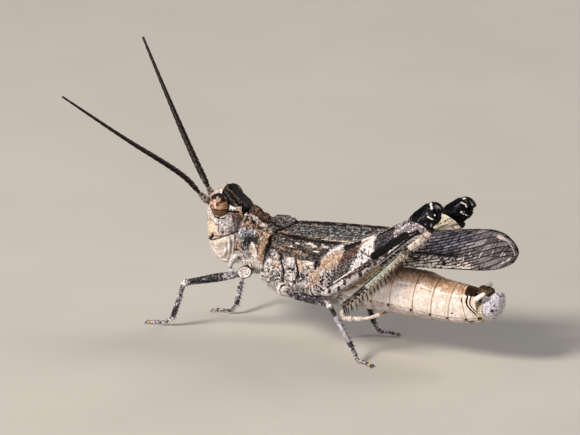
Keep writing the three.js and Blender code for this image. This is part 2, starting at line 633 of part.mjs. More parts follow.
// ---- Build ----
makeHead();
makeFeelers();
makePronotum();
makeWings();
makeHindWings();
makeThorax();
makeAbdomen();
Object.entries(WALKING_LEGS).forEach(([name, places]) => makeWalkingLeg(name, places));
Object.entries(HIND_LEGS).forEach(([side, leg]) => makeHindLeg(side, leg));

// The origin is under the middle of the whole animal, on the floor.
const bounds = new THREE.Box3().setFromObject(root);
const middle = bounds.getCenter(point(0, 0, 0));
root.children.forEach((mesh) => mesh.position.set(-middle.x, -middle.y, -bounds.min.z));

export default root;
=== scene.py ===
import math

import bpy
import numpy as np
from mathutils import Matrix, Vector


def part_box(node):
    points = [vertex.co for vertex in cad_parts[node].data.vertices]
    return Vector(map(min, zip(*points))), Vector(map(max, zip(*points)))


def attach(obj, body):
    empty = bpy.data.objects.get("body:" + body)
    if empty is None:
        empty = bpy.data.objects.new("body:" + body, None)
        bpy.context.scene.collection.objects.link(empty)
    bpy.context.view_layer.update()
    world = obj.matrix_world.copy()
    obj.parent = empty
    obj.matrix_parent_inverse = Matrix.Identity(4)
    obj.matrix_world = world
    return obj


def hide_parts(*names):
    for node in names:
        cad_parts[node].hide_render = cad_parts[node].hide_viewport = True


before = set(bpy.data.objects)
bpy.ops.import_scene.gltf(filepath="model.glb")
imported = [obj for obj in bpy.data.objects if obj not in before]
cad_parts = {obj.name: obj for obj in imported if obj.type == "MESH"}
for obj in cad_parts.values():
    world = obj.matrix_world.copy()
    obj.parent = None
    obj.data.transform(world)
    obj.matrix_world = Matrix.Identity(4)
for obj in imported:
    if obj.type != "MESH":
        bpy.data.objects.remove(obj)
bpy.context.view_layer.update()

MM = 0.001
TURN = 2 * math.pi
NOISE_GAIN = 0.55
WING_TIP_X = 9.0
wing_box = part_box("tegmen_left")
shield_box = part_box("pronotum")
SHIFT = np.array([wing_box[1].x / MM - WING_TIP_X, (shield_box[0].y + shield_box[1].y) / 2 / MM, 0.0])
SIDES = {"left": -1, "right": 1}


def placed(points):
    return (np.asarray(points, float) + SHIFT) * MM


# ---- Numbers: curves through knots, steps, bumps and noise ----
def through(*knots):
    """A smooth function through (place, value) knots, which never swings past them."""
    xs = np.array([k[0] for k in knots], float)
    vs = np.array([k[1] for k in knots], float)
    slopes = np.diff(vs) / np.diff(xs)
    before = np.concatenate([slopes[:1], slopes])
    after = np.concatenate([slopes, slopes[-1:]])
    total = np.where(np.abs(before + after) < 1e-12, 1, before + after)
    tangents = np.where(before * after <= 0, 0, 2 * before * after / total)

    def value(x):
        place = np.clip(np.asarray(x, float), xs[0], xs[-1])
        i = np.clip(np.searchsorted(xs, place) - 1, 0, len(xs) - 2)
        w = xs[i + 1] - xs[i]
        t = (place - xs[i]) / w
        rise = t * t * (3 - 2 * t)
        early = t * (1 - t) ** 2 * w * tangents[i]
        late = t * t * (1 - t) * w * tangents[i + 1]
        return vs[i] + (vs[i + 1] - vs[i]) * rise + early - late

    return value


def lerp(a, b, t):
    return a + (b - a) * t


def ease(value, low, high):
    """0 below low, 1 above high and smooth between them; low may be the larger."""
    t = np.clip((value - low) / (high - low), 0, 1)
    return t * t * (3 - 2 * t)


def bell(value, width):
    """A bump of height 1 at 0 that fades over about twice the width."""
    return np.exp(-((value / width) ** 2))


def band(value, low, high, soft):
    return ease(value, low - soft, low + soft) * ease(value, high + soft, high - soft)


def spot(x, z, centre, size, tilt=0.0):
    """A patch with value 1 in its centre, a half on its outline and 0 at twice its size."""
    c, s = math.cos(tilt), math.sin(tilt)
    dx, dz = x - centre[0], z - centre[1]
    return np.clip(1 - 0.5 * np.hypot((c * dx + s * dz) / size[0], (c * dz - s * dx) / size[1]), 0, 1)


def stroke(x, z, path, width):
    """A line through the path with value 1 on it, a half at its width and 0 at twice its width."""
    best = np.full(np.shape(x), 9.0)
    for (ax, az), (bx, bz) in zip(path, path[1:]):
        t = np.clip(((x - ax) * (bx - ax) + (z - az) * (bz - az)) / ((bx - ax) ** 2 + (bz - az) ** 2), 0, 1)
        best = np.minimum(best, np.hypot(x - ax - t * (bx - ax), z - az - t * (bz - az)))
    return np.clip(1 - 0.5 * best / width, 0, 1)


def most(*values):
    return np.maximum.reduce(np.broadcast_arrays(*values))


def lattice(i, j, k, seed):
    n = (i * 73856093) ^ (j * 19349663) ^ (k * 83492791) ^ (seed * 668265263)
    n = (n ^ (n >> 13)) * 1274126177
    return ((n ^ (n >> 16)) & 0xFFFF) / 65535.0


def noise(points, scale, seed=0, octaves=3):
    """Smooth noise from -1 to 1 at points, with scale features for each millimetre."""
    points = np.asarray(points, float)
    total, size, weight = 0.0, 1.0, 0.0
    for octave in range(octaves):
        p = points * scale * 2**octave + 17.3 * (octave + seed)
        cell = np.floor(p).astype(np.int64)
        f = p - cell
        f = f * f * (3 - 2 * f)
        value = 0.0
        for dx in (0, 1):
            for dy in (0, 1):
                for dz in (0, 1):
                    share = (f[..., 0] if dx else 1 - f[..., 0]) * (f[..., 1] if dy else 1 - f[..., 1])
                    share = share * (f[..., 2] if dz else 1 - f[..., 2])
                    value = value + share * lattice(cell[..., 0] + dx, cell[..., 1] + dy, cell[..., 2] + dz, seed)
        total = total + size * (2 * value - 1)
        weight += size
        size *= NOISE_GAIN
    return total / weight


def marks(x, z, *rows):
    """The strongest of some marks at each place: (strength, centre, size, tilt) is a spot, and (strength, [path],
    width) is a stroke."""
    return most(*[k * (stroke if isinstance(rest[0], list) else spot)(x, z, *rest) for k, *rest in rows])


def power(value, p):
    return np.sign(value) * np.abs(value) ** p


def unit(v):
    return v / np.maximum(np.linalg.norm(v, axis=-1, keepdims=True), 1e-12)


# ---- Shapes ----
def ring_grid(rows, sides, low=0.0, high=1.0):
    """Values from low to high down the rows, and angles once round the columns."""
    return np.meshgrid(np.linspace(low, high, rows), np.linspace(0, TURN, sides, endpoint=False), indexing="ij")


def flat_grid(rows, columns, low=0.0):
    return np.meshgrid(np.linspace(0, 1, rows), np.linspace(low, 1, columns), indexing="ij")


def grid_normals(P, wrap=False):
    """Unit normals of a grid of points, rows by columns."""
    down = np.gradient(P, axis=0)
    if wrap:
        across = (np.roll(P, -1, axis=1) - np.roll(P, 1, axis=1)) / 2
    else:
        across = np.gradient(P, axis=1)
    return unit(np.cross(across, down))


def relief(P, height, wrap=False, sign=1):
    return P + grid_normals(P, wrap) * (sign * height)[..., None]


def spline(path, steps):
    """Points evenly spaced by length on a smooth curve through the path."""
    p = np.array(path, float)
    q = np.vstack([2 * p[0] - p[1], p, 2 * p[-1] - p[-2]])
    pieces = []
    for i in range(len(p) - 1):
        a, b, c, d = q[i : i + 4]
        ab, bc, cd = (max(np.linalg.norm(y - x) ** 0.5, 1e-6) for x, y in ((a, b), (b, c), (c, d)))
        start = ((b - a) / ab - (c - a) / (ab + bc) + (c - b) / bc) * bc
        end = ((c - b) / bc - (d - b) / (bc + cd) + (d - c) / cd) * bc
        t = np.linspace(0, 1, 40)[:, None]
        rise = 3 * t**2 - 2 * t**3
        pieces.append((1 - rise) * b + (t**3 - 2 * t**2 + t) * start + rise * c + (t**3 - t**2) * end)
    dense = np.vstack(pieces)
    run = np.concatenate([[0], np.cumsum(np.linalg.norm(np.diff(dense, axis=0), axis=1))])
    places = np.asarray(steps) * run[-1] if np.ndim(steps) else np.linspace(0, run[-1], steps)
    return np.stack([np.interp(places, run, dense[:, k]) for k in range(3)], axis=-1), run[-1]


def round_ends(length, radius_a, radius_b, steps):
    """Places along a limb, from 0 to 1, which crowd where its ends round off, and the share of its width there."""
    a, b = min(0.49, radius_a / length), min(0.49, radius_b / length)
    turn = np.linspace(0.04, 0.5 * math.pi, 9)[:-1]
    places = np.concatenate(
        [a * (1 - np.cos(turn)), np.linspace(a, 1 - b, steps), (1 - b * (1 - np.cos(turn)))[::-1]]
    )
    width = np.concatenate([np.sin(turn), np.ones(steps), np.sin(turn)[::-1]])
    return places, width


def limb(path, wide, deep=None, up=(0, 0, 1), sides=28, steps=60, round_a=None, round_b=None):
    """Rings of a limb with round ends. Returns points, place along it (0 to 1) and angle round it (0 is the side
    that up x along points to, a quarter turn is up), each rows by columns. wide and deep are numbers or functions."""
    wide, deep = (v if callable(v) else lambda t, v=v: v + 0 * t for v in (wide, deep or wide))
    _, length = spline(path, 50)
    ra = wide(0.0) if round_a is None else round_a
    rb = wide(1.0) if round_b is None else round_b
    places, width = round_ends(length, float(ra), float(rb), steps)
    centre, _ = spline(path, places)
    along = unit(np.gradient(centre, axis=0))
    side = unit(np.cross(np.array(up, float), along))
    rise = np.cross(along, side)
    angle = np.linspace(0, TURN, sides, endpoint=False)
    s, a = np.meshgrid(places, angle, indexing="ij")
    w, d = wide(s) * width[:, None], deep(s) * width[:, None]
    P = centre[:, None] + side[:, None] * (w * np.cos(a))[..., None] + rise[:, None] * (d * np.sin(a))[..., None]
    return P, s, a


class Shape:
    """Grids and cones gathered into one mesh, with named values at each point for its material."""

    def __init__(self):
        self.points, self.faces, self.blocks, self.count = [], [], [], 0

    def block(self, points, faces, fields):
        points = np.asarray(points, float).reshape(-1, 3)
        self.points.append(points)
        self.faces.append(np.asarray(faces, np.int64).reshape(-1, 4) + self.count)
        values = {k: np.broadcast_to(np.asarray(v, float), (len(points),)).ravel() for k, v in fields.items()}
        self.blocks.append((len(points), values))
        self.count += len(points)

    def grid(self, P, wrap=False, caps=False, flip=False, **fields):
        """One surface over a grid of points. caps closes the two ends of a wrapped grid with a fan."""
        rows, columns = P.shape[:2]
        index = np.arange(rows * columns).reshape(rows, columns)
        right = np.roll(index, -1, axis=1) if wrap else index[:, 1:]
        left = index if wrap else index[:, :-1]
        quads = np.stack([left[:-1], right[:-1], right[1:], left[1:]], axis=-1).reshape(-1, 4)
        points = P.reshape(-1, 3)
        values = {k: np.broadcast_to(v, P.shape[:2]).reshape(-1) for k, v in fields.items()}
        if caps:
            ends = []
            for n, row in enumerate((0, rows - 1)):
                middle = len(points) + n
                a, b = index[row], np.roll(index[row], -1)
                fan = [np.full_like(a, middle), b, a, a] if n == 0 else [np.full_like(a, middle), a, b, b]
                ends.append(np.stack(fan, axis=-1))
            middles = np.stack([P[0].mean(0), P[-1].mean(0)])
            points = np.vstack([points, middles])
            quads = np.vstack([quads, *ends])
            values = {
                k: np.concatenate([v, [v[:columns].mean(), v[-columns:].mean()]]) for k, v in values.items()
            }
        if flip:
            quads = quads[:, ::-1]
        self.block(points, quads, values)

    def tube(self, P, height=None, **fields):
        """A wrapped grid with closed ends, raised by height."""
        self.grid(P if height is None else relief(P, height, wrap=True), wrap=True, caps=True, **fields)

    def plate(self, P, depth, flip=False, coarse=5, **fields):
        """A plate: a grid, its four edges, and an inner side depth below it with larger faces."""
        N = grid_normals(P) * (1 if flip else -1)
        depth = np.broadcast_to(depth, P.shape[:2])
        Q = P + N * depth[..., None]
        rows, columns = P.shape[:2]
        index = np.arange(rows * columns).reshape(rows, columns)
        rim = np.concatenate([index[0, :-1], index[:-1, -1], index[-1, :0:-1], index[:0:-1, 0]])
        picks = np.ix_(*(np.unique(np.append(np.arange(0, n, coarse), n - 1)) for n in (rows, columns)))
        under = index[picks]
        inner_rim = rows * columns + np.arange(len(rim))
        inner = rows * columns + len(rim) + np.arange(under.size).reshape(under.shape)

        def quads_of(grid):
            return np.stack([grid[:-1, :-1], grid[:-1, 1:], grid[1:, 1:], grid[1:, :-1]], axis=-1).reshape(-1, 4)

        edge = np.stack([np.roll(rim, -1), rim, inner_rim, np.roll(inner_rim, -1)], axis=-1)
        quads = np.vstack([quads_of(index), edge, quads_of(inner)[:, ::-1]])
        if flip:
            quads = quads[:, ::-1]
        sources = np.concatenate([index.ravel(), rim, under.ravel()])
        values = {k: np.broadcast_to(v, P.shape[:2]).reshape(-1)[sources] for k, v in fields.items()}
        points, below = P.reshape(-1, 3), Q.reshape(-1, 3)
        self.block(np.vstack([points, below[rim], below[under.ravel()]]), quads, values)

    def spikes(self, roots, tips, radius, sides=5, bend=None, rings=3, taper=1.0, **fields):
        """Thin pointed cones, one for each root and tip; bend moves their middle sideways."""
        roots, tips = np.atleast_2d(roots).astype(float), np.atleast_2d(tips).astype(float)
        n = len(roots)
        radius = np.broadcast_to(radius, (n,))
        bend = np.zeros((n, 3)) if bend is None else np.broadcast_to(bend, (n, 3))
        axis = unit(tips - roots)
        helper = np.where(np.abs(axis[:, 2:3]) > 0.9, [[1.0, 0, 0]], [[0, 0, 1.0]])
        side = unit(np.cross(axis, helper))
        rise = np.cross(side, axis)
        angle = np.linspace(0, TURN, sides, endpoint=False)
        around = side[:, None] * np.cos(angle)[None, :, None] + rise[:, None] * np.sin(angle)[None, :, None]
        t = np.linspace(0, 1, rings + 1)[:-1]
        middle = roots[:, None] * (1 - t)[None, :, None] + tips[:, None] * t[None, :, None]
        middle = middle + bend[:, None] * (4 * t * (1 - t))[None, :, None]
        width = radius[:, None] * (1 - t[None]) ** taper
        P = middle[:, :, None] + around[:, None] * width[:, :, None, None]
        each = rings * sides + 1
        points = np.concatenate([P.reshape(n, rings * sides, 3), tips[:, None]], axis=1)
        ring = np.arange(rings * sides).reshape(rings, sides)
        after = np.roll(ring, -1, axis=1)
        body = np.stack([ring[:-1], after[:-1], after[1:], ring[1:]], axis=-1).reshape(-1, 4)
        last = np.full(sides, rings * sides)
        tip = np.stack([ring[-1], after[-1], last, last], axis=-1)
        base = np.stack(
            [after[0, 1:-1], ring[0, 1:-1], np.full(sides - 2, ring[0, 0]), np.full(sides - 2, ring[0, 0])], axis=-1,
        )
        one = np.vstack([body, tip, base])
        faces = (one[None] + (np.arange(n) * each)[:, None, None]).reshape(-1, 4)
        values = {k: np.repeat(np.broadcast_to(v, (n,)), each) for k, v in fields.items()}
        values["tip"] = np.tile(np.concatenate([np.repeat(t, sides), [1.0]]), n)
        self.block(points.reshape(-1, 3), faces, values)

    def mesh(self, name):
        points = placed(np.vstack(self.points))
        faces = np.vstack(self.faces)
        corners = np.where(faces[:, 2] == faces[:, 3], 3, 4)
        keep = np.arange(4)[None] < corners[:, None]
        mesh = bpy.data.meshes.new(name)
        mesh.vertices.add(len(points))
        mesh.vertices.foreach_set("co", points.astype(np.float32).ravel())
        loops = faces[keep]
        mesh.loops.add(len(loops))
        mesh.loops.foreach_set("vertex_index", loops.astype(np.int32))
        mesh.polygons.add(len(faces))
        starts = np.concatenate([[0], np.cumsum(corners)[:-1]])
        mesh.polygons.foreach_set("loop_start", starts.astype(np.int32))
        mesh.update(calc_edges=True)
        mesh.validate()
        mesh.shade_smooth()
        for key in sorted({k for _, values in self.blocks for k in values}):
            attribute = mesh.attributes.new(key, "FLOAT", "POINT")
            values = np.concatenate([v.get(key, np.zeros(n)) for n, v in self.blocks])
            attribute.data.foreach_set("value", values.astype(np.float32))
        if "bake_u" in self.blocks[0][1]:
            turn = 2.4 * np.arange(len(points))
            uv = [np.concatenate([v[key] for _, v in self.blocks]) for key in ("bake_u", "bake_v")]
            uv = np.stack([uv[0] + 0.0015 * np.cos(turn), uv[1] + 0.0015 * np.sin(turn)], axis=-1)
            mesh.uv_layers.new(name="OFBake").data.foreach_set("uv", uv[loops].astype(np.float32).ravel())
        return mesh

    def thing(self, name, material):
        made = bpy.data.objects.new(name, self.mesh(name))
        bpy.context.scene.collection.objects.link(made)
        made.data.materials.append(material)
        return made

    def piece(self, name, material, slot, *nodes):
        """The finished object, riding on the root body and standing for the named solids, which it hides."""
        made = self.thing(name, material)
        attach(made, "root")
        if nodes:
            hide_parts(*nodes)


# ---- Materials ----
def colour(code):
    """A hex sRGB colour as linear RGBA."""
    parts = [int(code[i : i + 2], 16) / 255 for i in (0, 2, 4)]
    return (*[c / 12.92 if c <= 0.04045 else ((c + 0.055) / 1.055) ** 2.4 for c in parts], 1.0)


class Paint:
    """A procedural material made by short calls; each adds one node and returns its output."""

    def __init__(self, name, roughness=0.5, **shader):
        self.material = bpy.data.materials.new(name)
        self.material.use_nodes = True
        self.tree = self.material.node_tree
        self.tree.nodes.clear()
        output = self.tree.nodes.new("ShaderNodeOutputMaterial")
        self.shader = self.tree.nodes.new("ShaderNodeBsdfPrincipled")
        self.tree.links.new(self.shader.outputs[0], output.inputs["Surface"])
        self.shader.inputs["Roughness"].default_value = roughness
        self.shader.inputs["Specular IOR Level"].default_value = 0.16
        for key, value in shader.items():
            self.shader.inputs[key.replace("_", " ")].default_value = value
        where = self.tree.nodes.new("ShaderNodeTexCoord").outputs["Object"]
        self.place = self.node("ShaderNodeVectorMath", [where, None, None, 1 / MM], operation="SCALE")

    def node(self, kind, inputs=(), out=0, **settings):
        made = self.tree.nodes.new(kind)
        for key, value in settings.items():
            setattr(made, key, value)
        named = inputs.items() if isinstance(inputs, dict) else enumerate(inputs)
        for key, value in named:
            if isinstance(value, bpy.types.NodeSocket):
                self.tree.links.new(value, made.inputs[key])
            elif value is not None:
                made.inputs[key].default_value = value
        return made.outputs[out]

    def field(self, name):
        return self.node("ShaderNodeAttribute", attribute_name=name, out="Fac")

    def math(self, operation, a, b=0.0, c=0.0):
        return self.node("ShaderNodeMath", [a, b, c], operation=operation)

    def add(self, *values):
        total = values[0]
        for value in values[1:]:
            total = self.math("ADD", total, value)
        return total

    def times(self, a, b):
        return self.math("MULTIPLY", a, b)

    def less(self, a, b):
        return self.math("SUBTRACT", a, b)

    def stretched(self, *scale):
        """Places for a pattern that is drawn out along one axis."""
        return self.node("ShaderNodeVectorMath", [self.place, scale], operation="MULTIPLY")

    def spread(self, value, low, high):
        """A noise value turned into numbers between low and high."""
        limits = {"Value": value, "From Min": 0.3, "From Max": 0.7, "To Min": low, "To Max": high}
        return self.node("ShaderNodeMapRange", limits)

    def noise(self, scale, detail=4.0, rough=0.6, at=None, seed=0.0, warp=0.0):
        where = self.node("ShaderNodeVectorMath", [at or self.place, (seed, seed * 1.7, -seed)], operation="ADD")
        inputs = {"Vector": where, "Scale": scale, "Detail": detail, "Roughness": rough, "Distortion": warp}
        return self.node("ShaderNodeTexNoise", inputs, out="Fac")

    def cells(self, scale, feature="F1", random=1.0):
        inputs = {"Vector": self.place, "Scale": scale, "Randomness": random}
        return self.node("ShaderNodeTexVoronoi", inputs, out="Distance", feature=feature)

    def step(self, value, low, high):
        limits = {"Value": value, "From Min": low, "From Max": high}
        return self.node("ShaderNodeMapRange", limits, interpolation_type="SMOOTHSTEP")

    def mask(self, field, wobble, edge=0.08, amount=1.6):
        """A marking: where the named field passes a half, with its edge broken up by a noise value."""
        value = self.field(field) if isinstance(field, str) else field
        shifted = self.add(value, self.times(self.less(wobble, 0.5), amount))
        return self.step(shifted, 0.5 - edge, 0.5 + edge)

    def ramp(self, value, *stops):
        made = self.tree.nodes.new("ShaderNodeValToRGB")
        self.tree.links.new(value, made.inputs[0])
        for place, code in stops[2:]:
            made.color_ramp.elements.new(place)
        for element, (place, code) in zip(sorted(made.color_ramp.elements, key=lambda e: e.position), sorted(stops)):
            element.position = place
            element.color = colour(code)
        return made.outputs[0]

    def tones(self, codes, value, low=0.36, high=0.64):
        """Two to four colours in one string, spread over the usual range of a noise value."""
        codes = codes.split()
        if len(codes) == 1:
            return codes[0]
        return self.ramp(value, *[(lerp(low, high, i / (len(codes) - 1)), code) for i, code in enumerate(codes)])

    def mix(self, a, b, share, **settings):
        a, b = (colour(v) if isinstance(v, str) else v for v in (a, b))
        return self.node("ShaderNodeMix", {0: share, 6: a, 7: b}, out=2, data_type="RGBA", **settings)

    def mark(self, base, codes, tone, field, wobble, edge=0.08, amount=1.6):
        """Adds a marking: some colours spread over tone, where the named field passes a half."""
        return self.mix(base, self.tones(codes, tone), self.mask(field, wobble, edge, amount))

    def finish(self, base, roughness=None, bump=None, strength=0.6, distance=0.02):
        tree, shader = self.tree, self.shader
        tree.links.new(base, shader.inputs["Base Color"])
        if roughness is not None:
            tree.links.new(roughness, shader.inputs["Roughness"])
        if bump is not None:
            inputs = {"Strength": strength, "Distance": distance * MM, "Height": bump}
            tree.links.new(self.node("ShaderNodeBump", inputs, out="Normal"), shader.inputs["Normal"])
        return self.material


def mottle(name, ground, layers, grain=1.0, dots=None, lines=0.0, gloss=0.45, shine=None, bump=0.55):
    """Insect shell: a mottled ground with thin dark lines of strength lines, then a layer for each (field, colours,
    wobble), broken up by noise, then round dark dots in the field named by dots. shine names a field where the
    shell is smooth and glossy."""
    paint = Paint(name)
    middle = paint.noise(4.5 * grain, 5, 0.72, seed=15, warp=0.6)
    fine = paint.noise(16 * grain, 3, 0.68, seed=19)
    base = paint.tones(ground, paint.noise(4.8 * grain, 4, 0.78, seed=21, warp=0.5), 0.4, 0.6)
    if lines:
        away = paint.math("ABSOLUTE", paint.less(paint.noise(2.4 * grain, 3, 0.6, seed=71, warp=0.7), 0.5))
        base = paint.mix(base, "0b0807", paint.times(paint.step(away, 0.022, 0.01), lines))
    for i, (field, codes, wobble) in enumerate(layers):
        tone = paint.tones(
            codes, paint.noise((5.6 + 0.7 * i) * grain, 4, 0.78, seed=27 + 3.1 * i, warp=0.4), 0.4, 0.6,
        )
        broken = paint.noise(5.4 * grain, 5, 0.76, seed=61 + 2.3 * i)
        base = paint.mix(base, tone, paint.mask(field, broken, 0.07, wobble))
    if dots:
        where = paint.add(paint.cells(3.6 * grain), paint.times(paint.less(fine, 0.5), 0.5))
        some = paint.step(paint.noise(1.7 * grain, 2, seed=51), 0.36, 0.42)
        round_dots = paint.times(paint.step(where, 0.43, 0.36), some)
        base = paint.mix(base, "080505", paint.times(round_dots, paint.field(dots)))
    shade = paint.tones("2e2926 ffffff", paint.noise(9 * grain, 3, 0.7, seed=83), 0.37, 0.58)
    base = paint.mix(base, shade, 0.6, blend_type="OVERLAY")
    rough = paint.spread(middle, gloss - 0.1, gloss + 0.14)
    height = paint.add(fine, paint.times(paint.cells(19 * grain), 0.6), middle)
    if shine:
        smooth = paint.less(1.0, paint.times(paint.field(shine), 0.75))
        rough, height = paint.times(rough, smooth), paint.times(height, smooth)
    return paint.finish(base, rough, height, bump, 0.025)


# ---- Head ----
FACE_X = -11.92
MOUTH_Z = 5.55
MOUTH_SLOPE = 0.42
EYE = {"x": -10.66, "y": 1.03, "z": 8.17, "long": 0.64, "wide": 0.43, "high": 0.75}
HEAD_FRONT = through((4.12, -10.5), (4.25, -10.74), (4.56, -11.1), (4.92, -11.36), (5.49, -11.57), (6.2, -11.7),
    (7, -11.76), (7.9, -11.8), (8.3, -11.7), (8.6, -11.44), (8.9, -11.05), (9.16, -10.75), (9.2, -10.6))
HEAD_BACK = through((4.12, -10.15), (4.4, -9.85), (5, -9.52), (5.8, -9.44), (6.6, -9.4), (7.3, -9.12), (7.9, -8.94),
    (8.2, -9.08), (8.44, -9.34), (8.64, -9.58), (8.9, -9.92), (9.16, -10.32), (9.2, -10.48))
HEAD_HALF = through((4.12, 0.3), (4.3, 0.62), (4.7, 0.95), (5.3, 1.2), (6, 1.33), (6.8, 1.32), (7.5, 1.2),
    (8.1, 1.02), (8.6, 0.74), (8.9, 0.48), (9.16, 0.2), (9.2, 0.05))
HEAD_POWER = 2 / 2.15
HEAD_TOP = 9.2


def head_points(z, angle):
    """The plain outline of the head: angle 0 is the back, a quarter turn the animal's right, a half turn the face."""
    front, back = HEAD_FRONT(z), HEAD_BACK(z)
    x = (front + back) / 2 + (back - front) / 2 * power(np.cos(angle), HEAD_POWER)
    return np.stack([x, HEAD_HALF(z) * power(np.sin(angle), HEAD_POWER), z], axis=-1)


def mouth_height(angle, gap=0.0):
    """Where the slanted joint under the face crosses the head's outline."""
    z = np.full(np.shape(angle), MOUTH_Z)
    for _ in range(12):
        z = MOUTH_Z + gap + MOUTH_SLOPE * (head_points(z, angle)[..., 0] - FACE_X)
    return z


def eye_distance(P):
    """1 on the outline of an eye seen from the side, less inside it."""
    dx, dz = P[..., 0] - EYE["x"], P[..., 2] - EYE["z"]
    return np.hypot((dx + 0.12 * dz) / EYE["long"], dz / EYE["high"])


SUBOCULAR = through((5.6, -10.62), (6.4, -10.72), (7.45, -10.84))
NECK = [(-10.1, 0, 6.85), (-9.3, 0, 6.68), (-8.4, 0, 6.4)]
FACE_CARINA = through((5.7, 0.86), (6.6, 0.7), (7.6, 0.42), (8.2, 0.34))


def make_head():
    shape = Shape()
    t, a = ring_grid(200, 250)
    low = mouth_height(a[0], 0.02)
    z = lerp(low[None], HEAD_TOP, 1 - (1 - t) ** 1.25)
    P = head_points(z, a)
    x, y = P[..., 0], np.abs(P[..., 1])
    front = ease(-np.cos(a), 0.3, 0.8)
    eye = eye_distance(P)
    side = ease(y, 0.25, 0.6)
    height = 0.05 * bell(y - 0.17, 0.055) * front * band(z, 5.8, 8.6, 0.15)
    height -= 0.05 * bell(y, 0.1) * front * band(z, 6.2, 8.2, 0.3)
    height += 0.045 * bell(y - FACE_CARINA(z), 0.06) * front * band(z, 5.75, 8.0, 0.12)
    socket = np.hypot(y - 0.46, (z - 8.12) * 0.9)
    height += front * (0.05 * bell(socket - 0.3, 0.06) - 0.1 * bell(socket, 0.2))
    height += side * (0.05 * bell(eye - 1.13, 0.09) - 0.12 * ease(eye, 1.02, 0.8))
    height -= 0.045 * bell(x - SUBOCULAR(z), 0.035) * band(z, 5.75, 7.42, 0.08) * side
    height += 0.03 * bell(x - SUBOCULAR(z) - 0.09, 0.05) * band(z, 5.75, 7.42, 0.08) * side
    crown = ease(z, 8.35, 8.75)
    height += 0.03 * bell(y, 0.03) * crown * ease(x, -10.9, -10.5)
    height += 0.045 * bell(y - 0.36 * ease(x, -11.75, -10.9), 0.05) * ease(z, 8.2, 8.4) * ease(x, -10.55, -10.8)
    height += 0.03 * bell(z - low[None] - 0.06, 0.05)
    height += 0.02 * bell(x + 9.6 + 0.14 * (z - 6), 0.06) * band(z, 6.2, 8.0, 0.2) * side
    height += 0.016 * noise(P, 3.2, 4, 4) + 0.006 * noise(P, 14, 5, 2)
    P = relief(P, height, wrap=True)
    lid = 8.14 + 0.9 * np.maximum(0, -10.25 - x)
    set_back, slope = x - 0.2 * ease(z, 8.7, 9.1), z + 0.75 * x
    vertex = ease(z - 8.6 - 0.36 * (x + 11.2), -0.03, 0.05) * ease(set_back, -10.6, -11.0)
    crown = ease(z, lid - 0.04, lid + 0.04) * ease(set_back, -11.0, -10.68)
    nape = ease(x + 0.2 * (z - 7.9), -9.33, -9.25) * ease(z, 7.0, 7.3)
    streaks = 0.62 + 0.38 * np.sin(21 * slope + 2.0 * noise(P, 2.5, 31, 2))
    streaks = streaks * ease(slope, 0.5, 0.72) * ease(slope, 1.5, 1.3)
    shape.tube(
        P, lilac=0.66 * side * band(z, 6.3, 7.62, 0.2) * ease(x, -11.2, -10.6),
        face=most(
            0.8 * side * spot(x, z, (-11.15, 6.65), (0.45, 0.5)), front * 0.62 * band(z, 6.0, 7.0, 0.2),
            0.6 * spot(x, z, (-10.7, 6.35), (0.3, 0.2))),
        brown=side * marks(
            x, z, (0.8, (-10.35, 6.52), (0.16, 0.1)), (0.75, (-9.8, 6.55), (0.25, 0.14)),
            (1, [(-10.95, 6.2), (-10.3, 6.3), (-9.6, 6.42)], 0.05), (1.2, (-9.5, 7.5), (0.24, 0.36)),
            (0.75, (-10.1, 7.72), (0.5, 0.08)), (0.62, [(-10.62, 7.3), (-10.6, 6.4)], 0.04)),
        pale=most(
            marks(
                x, z, (0.7, (-10.9, 7.25), (0.32, 0.2)), (0.66, (-10.15, 7.48), (0.3, 0.09)),
                (1, (-10.82, 8.82), (0.16, 0.07), -0.2), (0.6, (-10.2, 6.85), (0.2, 0.2))),
            0.4 * vertex, front * 0.5 * band(z, 7.0, 8.4, 0.2)),
        black=most(
            crown, nape, 0.95 * stroke(x, z, [(-10.2, 7.86), (-9.45, 7.84)], 0.07) * side,
            0.9 * side * bell(eye - 1.08, 0.05) * ease(z, 8.1, 7.8),
            side * stroke(x, z, [(-11.45, 8.4), (-11.1, 8.56), (-10.8, 8.62)], 0.03),
            0.95 * stroke(x, z, [(-10.92, 7.42), (-10.52, 7.42)], 0.025) * side,
            1.3 * stroke(x, z, [(-11.62, 5.62), (-11.25, 5.9), (-11.02, 6.22)], 0.09) * side,
            0.8 * stroke(y, z, [(0.46, 7.95), (0.5, 8.3)], 0.06) * front),
        streak=0.64 * most(crown, nape) * streaks * ease(z, 7.9, 8.2),
        white=side * ease(x, -10.25, -10.19) * ease(x, -9.48, -9.52) * ease(z - 8.0 - 0.04 * x - 0.4, -0.02, 0.02)
            * ease(z - 8.02 - 0.5 * (-9.58 - x), 0.02, -0.02),
        yellow=side * stroke(x, z, [(-9.46, 7.98), (-9.38, 7.9), (-9.33, 7.7), (-9.25, 7.42)], 0.04),
    )
    shell = mottle(
        "head_shell", "4f423c 8b7b71 b9a99e d9cdc4",
        [
            ("lilac", "6d6769 a49c9d dad3d2", 2.0), ("face", "bf9a72 e3c9a4 f6ead8", 2.2),
            ("pale", "bfaea2 e8dbd1 fbf7f3", 1.7), ("brown", "1e1511 523f38 98827a", 1.8),
            ("black", "000000 030202 0d0a09", 0.8), ("streak", "0f0a08 3a2e26 857367", 1.7),
            ("white", "f1efec fefefd", 0.35), ("yellow", "a87d4c e0c08c", 0.5)],
        grain=1.25, gloss=0.42, bump=0.6,
    )
    P, s, _ = limb(NECK, 0.86, 0.95, sides=70, steps=60)
    folds = np.sin(34 * s + 1.5 * noise(P, 2.5, 36, 2))
    shape.tube(P, 0.03 * folds + 0.015 * noise(P, 6, 37, 2), brown=0.7, black=0.6 * ease(-folds, 0.0, 0.6))
    shape.piece("head_capsule", shell, "shell", "head")


